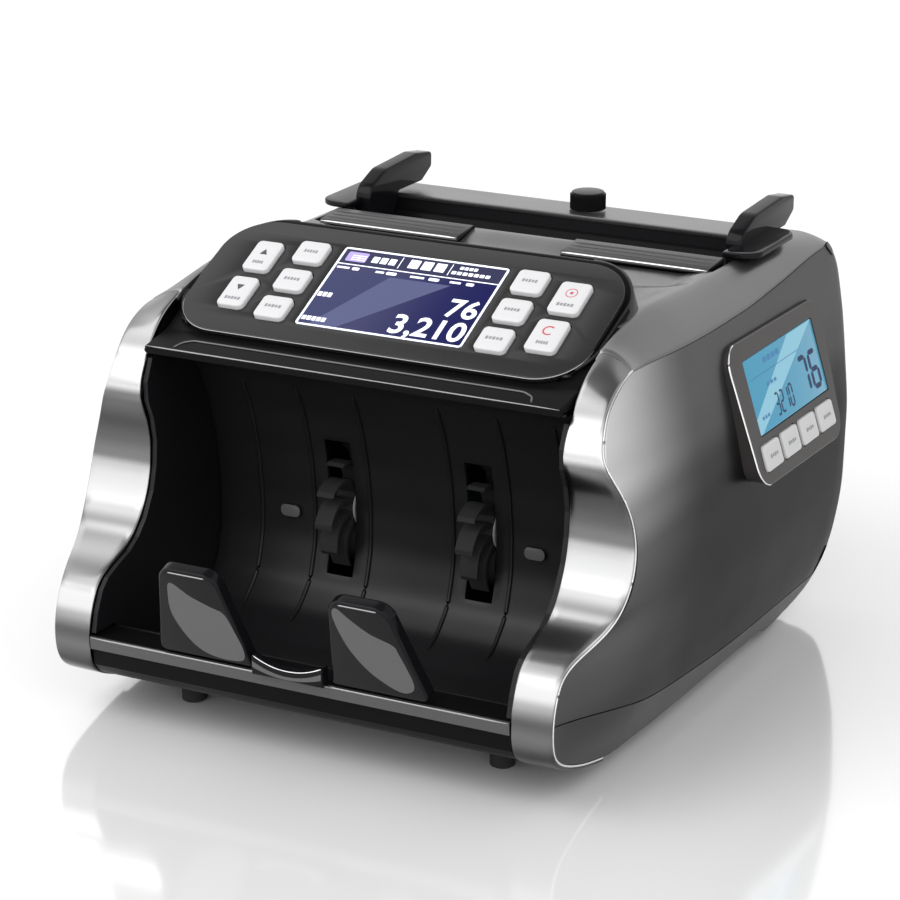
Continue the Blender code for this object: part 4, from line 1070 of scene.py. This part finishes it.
def soft_loop(points, steps=8):
    """Closed Catmull-Rom outline through a few points."""
    count, out = len(points), []
    for k in range(count):
        a, b, c, d = (np.array(points[(k + i) % count]) for i in (-1, 0, 1, 2))
        for t in np.arange(steps) / steps:
            bend = 2 * a - 5 * b + 4 * c - d + t * (3 * (b - c) + d - a)
            out.append(tuple(b + t / 2 * (c - a + t * bend)))
    return out


PADDLE_REFLECTIONS = {   # painted reflections on the paddles' faces, as leaf shapes: across, up the paddle
    "left": [(-45.5, 37.6), (-38, 32.5), (-30, 28.8), (-24.2, 26.2), (-21.4, 17.5), (-19.6, 9), (-21, 3.6),
             (-27, 2.2), (-34, 2.7), (-40.1, 5.4), (-45.3, 12), (-48.7, 21.5), (-48.1, 30.8)],
    "right": [(28, 41), (33.1, 36.4), (40.4, 30.9), (49, 27.5), (51, 23.6), (54.6, 9.3), (51.5, 4.2),
              (45.5, 4.6), (36.2, 11.2), (29.7, 20.7), (26.6, 30), (25.6, 38)]}


def paddles():
    lean = math.atan2(16, 41)
    stand = at(0, 0.4, 37.4) @ Matrix.Rotation(math.radians(90) + lean, 4, "X")
    for side, word in SIDES:
        outline = rounded([(17.2, 0.2), (60, 0.2), (49.5, 44), (24.5, 44)], [1.5, 3, 7, 7], 12)
        body = plate(f"{word}_paddle", [turned_out(outline, side)], -6, 0, 1.3, stand, 5)
        settle(body, gloss_black, replaces=[f"{word}_stacker_paddle"], sharp=50)
        # Painted highlight: a glint line along the paddle's top edge.
        rim = [stand @ Vector((side * x, 42.7, -0.15)) for x in (29, 45.5)]
        settle(tube(f"{word}_paddle_glint", resample(rim, 20), 0.35), painted_highlight_metal)
        # Painted reflection: a grey leaf shape laid on the paddle's face.
        reflection_sheet = plate(f"{word}_paddle_painted_reflection", [soft_loop(PADDLE_REFLECTIONS[word])], -0.02, 0.1, matrix=stand)
        settle(reflection_sheet, window_and_reflection_grey)
    half = 15.6                                  # of the lip's width
    top = [(x, 41.2 + 3.8 * (x / half) ** 2) for x in np.linspace(half, -half, 33)]
    lip = [(-half, 37.2), (half, 37.2), *top]
    lip = plate("centre_lip", [lip], -2.5, 2.5, 0.7, at(0, -1.6, 0) @ UPRIGHT, 3)
    settle(lip, gloss_black, replaces=["stacker_centre_lip"], sharp=50)
    # Painted reflection: a grey crescent laid on the centre lip's face.
    reflection_crescent = [(x * 0.97, z - 2.2) for x, z in top]
    reflection_crescent += [(x * 0.97, 37.7 + 2.6 * (x / half) ** 2) for x, _ in top[::-1]]
    settle(plate("centre_lip_painted_reflection", [reflection_crescent], 4.08, 4.16, matrix=UPRIGHT), window_and_reflection_grey)
    # Painted highlight: a bright line along the centre lip's top edge.
    line = [(x * 0.96, -3.6, z - 0.25) for x, z in top]
    settle(tube("centre_lip_highlight", line, 0.3), bead)


SILL_HALF = 92.6


def sill():
    face = softened([(24.4, 2.6), (31, 1.9), (36.7, 1.6)], 24.4, 36.7, 1)
    front = [(face(z), z) for z in (36.7, 34, 31, 28, 25.6)]
    under = resample([(2.6, 24.4), (6.4, 19.9), (16, 15.3), (30, 10.5), (46, 6.9)], 40)
    under = resample(relaxed(under, 3), 24)
    outline = front + [tuple(p) for p in under] + [(46, 9.6), (30, 14), (15.2, 22), (15.2, 36.7)]
    body = plate("sill_shell", [outline], -SILL_HALF, SILL_HALF, 0.3, SIDEWAYS)
    settle(body, black, replaces=["front_sill"], sharp=30)
    strip = [(0.2, 36.9), (0.35, 34), (0.6, 31.6), (1.3, 31.6), (1.3, 36.9)]
    settle(plate("sill_strip", [strip], -SILL_HALF, SILL_HALF, 0.15, SIDEWAYS), sill_grey,
           replaces=["sill_trim"], sharp=30)
    # Painted highlight along the sill's top front edge.
    settle(tube("sill_edge_highlight", resample([(x, 0.2, 36.5) for x in (-92, 92)], 30), 0.42), painted_highlight_metal)


# ---- hopper ---------------------------------------------------------------------------------
def hopper():
    dress("hopper_tray", black, 0.5)
    # closes the gap between the tray's rear wall and the bridge over it
    web = [(243.4, 155), (244.8, 155), (244.8, 163.4), (243.4, 163.4)]
    settle(plate("bridge_web", [web], -92.4, 92.4, 0.2, SIDEWAYS), inner_black_and_slot_shade)
    profile = [(181, 164.7), (181.4, 163.6), (195.6, 165.2), (195.6, 141), (197.6, 141), (198, 166.8),
               (197, 167.6), (182, 166.2)]
    for side, word in SIDES:
        low, high = sorted((side * 24.2, side * 90.5))
        lip = plate(f"{word}_lip_shell", [rounded(profile, 0.25, 2)], low, high, 0.25, SIDEWAYS)
        settle(lip, lip_paint, replaces=[f"{word}_feed_lip"], sharp=30)
        # Painted highlight: a bright line along the lip's front edge.
        edge = resample([(low + 0.6, 181.4, 165.5), (high - 0.6, 181.4, 165.5)], 20)
        settle(tube(f"{word}_lip_edge_highlight", edge, 0.4), bead)
        # Ridges along the lip, their lighter grey partly a painted highlight.
        for k, y in enumerate((185.4, 189.2, 193)):
            z = 166.2 + (y - 182) * 0.0933
            ridge = resample([(low + 1.2, y, z), (high - 1.2, y, z)], 20)
            settle(tube(f"{word}_lip_ridge_{k + 1}", ridge, 0.3), sill_grey)


def note_guides():
    fin = [(204, 119), (238, 158.4), (240.6, 166.4), (262.5, 166.4), (271.6, 171.3), (271.8, 178), (258, 180),
           (229, 178.6), (214, 172.6), (214, 156), (204, 144)]
    fin = rounded(fin, [1, 1, 2, 2, 2, 2, 12, 14, 8, 4, 4], 8)
    for side, word in SIDES:
        rides = f"{word}_note_guide"
        low, high = sorted((side * 84, side * 91.4))
        body = plate(f"{word}_guide_fin", [fin], low, high, 0.9, SIDEWAYS, 4)
        settle(body, gloss_black, rides, [rides], 50)
        wing = turned_out(rounded([(88, 201), (103, 201), (103, 249), (88, 249)], [1, 9, 9, 1], 10), side)
        settle(plate(f"{word}_guide_wing", [wing], 166.5, 168.9, 0.7, IDENTITY, 3), gloss_black, rides,
               sharp=50)


def gap_knob():
    teeth, place = 36, at(0, 259, 168)
    rim = []
    for k in range(2 * teeth):
        reach, turn = 7.9 - 0.35 * (k % 2), math.pi * k / teeth
        rim.append((reach * math.cos(turn), reach * math.sin(turn)))
    knob = plate("knob_grip", [rim], -3.8, 2.9, 0.25, place)
    settle(knob, black, "gap_knob", ["gap_knob"], 30)
    cap = plate("knob_cap", [circle(0, 0, 7.3, 60)], 2.6, 3.8, 0.7, place, 4)
    settle(cap, gloss_black, "gap_knob", sharp=40)
    pointer = plate("knob_pointer", [rbox(0, 3.6, 0.9, 4.6, 0.4, 4)], 3.72, 3.82, matrix=place)
    settle(pointer, key_white, "gap_knob")


# ---- drive train ----------------------------------------------------------------------------
PULLEY_X = 100.5             # middle plane of the belts, on either side


def shaft(name, axis, low, high, radius, rides, replaces):
    rod = lathe(name, [(low, 0), (low, radius - 0.4), (low + 0.4, radius), (high - 0.4, radius),
                       (high, radius - 0.4), (high, 0)], axis, 40)
    settle(rod, steel, rides, replaces, 40)


def tyre(name, axis, x, width, inner, outer, mat, rides, edge=0.8):
    settle(lathe(name, ring_profile(x - width / 2, x + width / 2, inner, outer, edge), axis, 72), mat, rides,
           sharp=40)


def roller(word, axis, radius, width, bore, end, rides, node):
    """Shaft with a hub and a grooved rubber tyre in each lane."""
    shaft(f"{word}_rod", axis, -end, end, bore, rides, [node])
    for side, lane in SIDES:
        x = side * WHEEL_X
        tyre(f"{word}_{lane}_hub", axis, x, width - 1.2, bore - 0.3, radius - 3.2, wheel_hub, rides,
             0.4)
        low, high, inside = x - width / 2, x + width / 2, radius - 3.6
        ribs = [(low + width * (k + f) / 6, radius - d) for k in range(6)
                for f, d in ((0.08, 0.35), (0.16, 0), (0.84, 0), (0.92, 0.35))]
        profile = [(low, inside), *ribs, (high, inside), (low, inside)]
        settle(lathe(f"{word}_{lane}_tyre", profile, axis, 80), roller_rubber, rides, sharp=40)


def pulley(name, axis, x, radius, bore, rides):
    profile = [(x - 3, bore - 0.2), (x - 3, radius), (x - 2.4, radius), (x - 2.2, radius - 0.5),
               (x + 2.2, radius - 0.5), (x + 2.4, radius), (x + 3, radius), (x + 3, bore - 0.2),
               (x - 3, bore - 0.2)]
    settle(lathe(name, profile, axis, 60), wheel_hub, rides, sharp=30)


def finger_wheels():
    fingers, hub, tip = 12, 9.5, 26.0
    sweep, thick = math.radians(34), math.radians(9)
    outline = []
    for k in range(fingers):
        base = 2 * math.pi * k / fingers
        out = [(hub + (tip - hub) * t, base + sweep * t * t) for t in np.linspace(0, 1, 10)]
        back = [(r, angle + thick * (1.5 - (r - hub) / (tip - hub))) for r, angle in reversed(out)]
        outline += [(r * math.cos(a), r * math.sin(a)) for r, a in out + back]
    for side, word in SIDES:
        place = at(side * WHEEL_X, *STACKER_AXIS) @ SIDEWAYS
        wheel = plate(f"{word}_fingers", [outline, circle(0, 0, 3.2, 32)], -4, 4, 0.3, place)
        settle(wheel, rubber, "stacker", [f"{word}_finger_wheel"], 30)
        tyre(f"{word}_finger_hub", STACKER_AXIS, side * WHEEL_X, 9.4, 2.9, 8.4, wheel_hub, "stacker",
             0.6)


def drive_train():
    roller("feed", FEED_AXIS, 15, 20, 3, 105.5, "feed_roller", "feed_roller_shaft")
    roller("retard", RETARD_AXIS, 9, 14, 2.5, 94, "root", "retard_roller")
    roller("pickup", PICKUP_AXIS, 12, 18, 3, 94, "pickup_roller", "pickup_roller_shaft")
    shaft("stacker_rod", STACKER_AXIS, -105, 97, 3, "stacker", ["stacker_shaft"])
    pulley("feed_right_pulley", FEED_AXIS, PULLEY_X, 9, 3, "feed_roller")
    pulley("feed_left_pulley", FEED_AXIS, -PULLEY_X, 9, 3, "feed_roller")
    pulley("stacker_pulley", STACKER_AXIS, -PULLEY_X, 9, 3, "stacker")
    finger_wheels()
    can = [(84, 0), (84, 5.6), (83.6, 6), (82, 6), (82, 16.2), (81.2, 17), (76, 17), (75.6, 16.7),
           (75.2, 17), (30, 17), (27, 16.6), (23.4, 14.4), (22, 13), (22, 0)]
    settle(lathe("motor_can", can, MOTOR_AXIS, 72), steel, replaces=["drive_motor"],
           sharp=40)
    for k, z in enumerate((-6, 6)):
        tag = rbox(MOTOR_AXIS[0], MOTOR_AXIS[1] + z, 2.8, 1, 0.3, 3)
        tag = plate(f"motor_terminal_{k + 1}", [tag], 18.5, 22.6, 0.2, SIDEWAYS)
        settle(tag, wheel_hub)
    nose = [(105, 0), (105, 2.1), (104.6, 2.5), (84.6, 2.5), (84.6, 0)]
    settle(lathe("motor_shaft_end", nose, MOTOR_AXIS, 32), steel, "motor_rotor", ["motor_pulley"],
           40)
    pulley("motor_belt_pulley", MOTOR_AXIS, PULLEY_X, 6, 2.5, "motor_rotor")
    for belt in ("drive_belt", "stacker_belt"):
        dress(belt, rubber)
    for word in ("left", "right"):
        dress(f"{word}_frame_plate", inner_black_and_slot_shade, 0.2)


# ---- electrics, base and feet ---------------------------------------------------------------
BOARD_TOP = 48.6


def electrics():
    dress("power_supply", steel, 0.8)
    # Painted shade: dark strips stand for the supply's vent slots.
    vents = [rbox(-68 + 6 * k, 186, 2.2, 42, 1, 4) for k in range(7)]
    settle(plate("supply_vents", vents, 42, 42.15), inner_black_and_slot_shade)
    socket = plate("supply_connector", [rbox(-28, 214, 16, 9, 0.8, 4)], 42, 46, 0.4)
    settle(socket, key_white)
    dress("main_board", board_green, 0.1)
    chips = ((-60, 160, 16, 16, 2.2), (-34, 158, 12, 8, 1.8), (-12, 172, 9, 20, 2.0), (-56, 196, 10, 6, 1.8))
    for k, (x, y, w, h, tall) in enumerate(chips):
        chip = plate(f"board_chip_{k + 1}", [rbox(x, y, w, h, 0.5, 3)], BOARD_TOP, BOARD_TOP + tall, 0.2)
        settle(chip, panel_black)
        legs = [box_corners(x + s * (w / 2 + 0.6), y - h / 2 + 1.2 + 1.6 * i, 1.4, 0.7) for s in (-1, 1)
                for i in range(int((h - 1) / 1.6))]
        settle(plate(f"board_chip_{k + 1}_legs", legs, 48.55, 49.1), steel)
    for k, (x, y) in enumerate(((-36, 206), (-26, 206), (-36, 217), (-72, 216))):
        can = plate(f"board_capacitor_{k + 1}", [circle(x, y, 3.6, 40)], BOARD_TOP, 58, 0.6, IDENTITY, 3)
        settle(can, sleeve_blue if k % 2 else steel)
    for k, y in enumerate((148, 163, 178)):
        plug = plate(f"board_connector_{k + 1}", [rbox(5, y, 7, 11, 0.6, 3)], BOARD_TOP, 56, 0.3)
        settle(plug, key_white)
    box = plate("inlet_body", [rbox(60, 40, 28, 20, 2, 6)], -271.4, -248.2, 0.4, UPRIGHT)
    well = rounded([(49, 33), (71, 33), (71, 43.5), (67.5, 47), (52.5, 47), (49, 43.5)], 1.2, 4)
    carve(box, plate("well", [well], -290, -255.2, matrix=UPRIGHT))
    settle(box, black, replaces=["power_inlet"], sharp=30)
    for k, (x, z) in enumerate(((60, 42.6), (54.6, 38.2), (65.4, 38.2))):
        pin = plate(f"inlet_pin_{k + 1}", [rbox(x, z, 1.6, 4, 0.4, 3)], -268, -255, 0.3, UPRIGHT)
        settle(pin, steel)
    rocker = rounded([(262.2, 32), (270.8, 30.6), (269.6, 40), (273.2, 48.8), (263.2, 48.4)],
                     [0.5, 1.2, 6, 1.2, 0.5], 8)
    settle(plate("switch_rocker", [rocker], 20.2, 33.8, 0.5, SIDEWAYS, 3), gloss_black, "power_switch",
           ["power_switch"], 50)
    for name, shapes, y, z, tilt in (("on", [rbox(0, 0, 0.8, 4.2, 0.3, 3)], 270.2, 35.2, -7.3),
                                     ("off", [circle(0, 0, 2.1), circle(0, 0, 1.5)], 271.4, 44.6, 22.2)):
        place = at(27, y, z) @ REARWARD @ Matrix.Rotation(math.radians(tilt), 4, "X")
        settle(plate(f"switch_{name}_mark", shapes, -0.1, 0.15, matrix=place), key_white, "power_switch")
    frame_shape = [rbox(27, 40, 19, 24.6, 2, 6), rbox(27, 40, 14.4, 20.6, 1, 4)]
    surround = plate("switch_surround", frame_shape, -271.2, -268.6, 0.4, UPRIGHT)
    settle(surround, black, sharp=30)


def base():
    dress("base_pan", band_paint, 0.3)
    # Painted shade: dark strips stand for the base's vent slots.
    slots = [rbox(-30 + 6 * k, 150, 2.4, 40, 1.1, 5) for k in range(11)]
    settle(plate("base_vents", slots, 3.95, 4.1), inner_black_and_slot_shade)
    for k, (x, y) in enumerate(((-92, 70), (92, 70), (-92, 190), (92, 190))):
        head = plate(f"base_screw_{k + 1}", [circle(x, y, 3, 32)], 3.5, 4.6, 0.4)
        settle(head, steel)
    for row, x, y, radius, height in (("front", 70, 40, 5, 6.4), ("rear", 78, 195, 7.5, 3.6)):
        for side, word in SIDES:
            node = f"foot_{row}_{word}"
            foot = plate(f"{node}_pad", [circle(side * x, y, radius, 48)], 0, height, 0.8, IDENTITY, 4)
            settle(foot, rubber, replaces=[node], sharp=50)
            ring = [circle(side * x, y, radius * 0.5), circle(side * x, y, radius * 0.32)]
            settle(plate(f"{node}_ring", ring, 0, 0.12), inner_black_and_slot_shade)


pocket()
paddles()
sill()
hopper()
note_guides()
gap_knob()
drive_train()
electrics()
base()


# ---- floor, light and camera ----------------------------------------------------------------
def lamp(name, place, aim, width, height, power, color=(1, 1, 1)):
    """Soft box, placed and aimed in machine millimetres. Its own size is in metres."""
    light = bpy.data.lights.new(name, "AREA")
    light.shape, light.size, light.size_y = "RECTANGLE", width, height
    light.energy, light.color = power, color
    obj = bpy.data.objects.new(name, light)
    link(obj)
    spot, target = to_world @ Vector(place), to_world @ Vector(aim)
    obj.matrix_world = Matrix.LocRotScale(spot, (target - spot).to_track_quat("-Z", "Y"), None)


bpy.ops.mesh.primitive_plane_add(size=30)
floor = bpy.context.object
floor.name = "studio_floor"
paper = bpy.data.materials.new("floor_paper")
paper.use_nodes = True
set_inputs(paper.node_tree.nodes["Principled BSDF"], {
    "Base Color": (0.76, 0.76, 0.76, 1), "Roughness": 0.13, "Specular IOR Level": 0.9,
    "Coat Weight": 1.0, "Coat Roughness": 0.06, "Coat IOR": 1.7})
floor.data.materials.append(paper)

world = bpy.data.worlds.new("studio")
bpy.context.scene.world = world
world.use_nodes = True
tree = world.node_tree
split = tree.nodes.new("ShaderNodeSeparateXYZ")
set_inputs(split, {"Vector": tree.nodes.new("ShaderNodeTexCoord").outputs["Generated"]})
tent = add_node(tree, "ValToRGB", {"Fac": split.outputs["Z"]})   # brightness by height: a white band
set_stops(tent, [(0.0, 0.7), (0.20, 1.0), (0.80, 1.0), (0.92, 0.2)])
ahead = add_node(tree, "MapRange", {     # brighter in front of the machine than behind
    "From Min": 0.5, "From Max": -0.4, "To Min": 1.1, "To Max": 2.1, "Value": split.outputs["Y"]})
ahead.interpolation_type = "SMOOTHSTEP"
set_inputs(tree.nodes["Background"], {"Color": tent.outputs["Color"], "Strength": ahead.outputs["Result"]})

lamp("key", (-500, -500, 1100), (0, 100, 60), 0.9, 0.9, 5)

VIEW = Vector((0.44205, -0.83988, 0.31494))      # from the machine towards the camera
RIGHT = Vector((0.88491, 0.46575, 0))            # across the picture
camera_data = bpy.data.cameras.new("camera")
camera_data.lens, camera_data.sensor_width = 127.13, 36
camera_data.clip_start, camera_data.clip_end = 0.05, 50
camera = bpy.data.objects.new("camera", camera_data)
link(camera)
turn = Matrix((RIGHT, VIEW.cross(RIGHT), VIEW)).transposed()
camera.matrix_world = Matrix.Translation(to_world @ Vector((576.7, -966.2, 501.6))) @ turn.to_4x4()
bpy.context.scene.camera = camera
bpy.context.scene.view_settings.view_transform = "Standard"
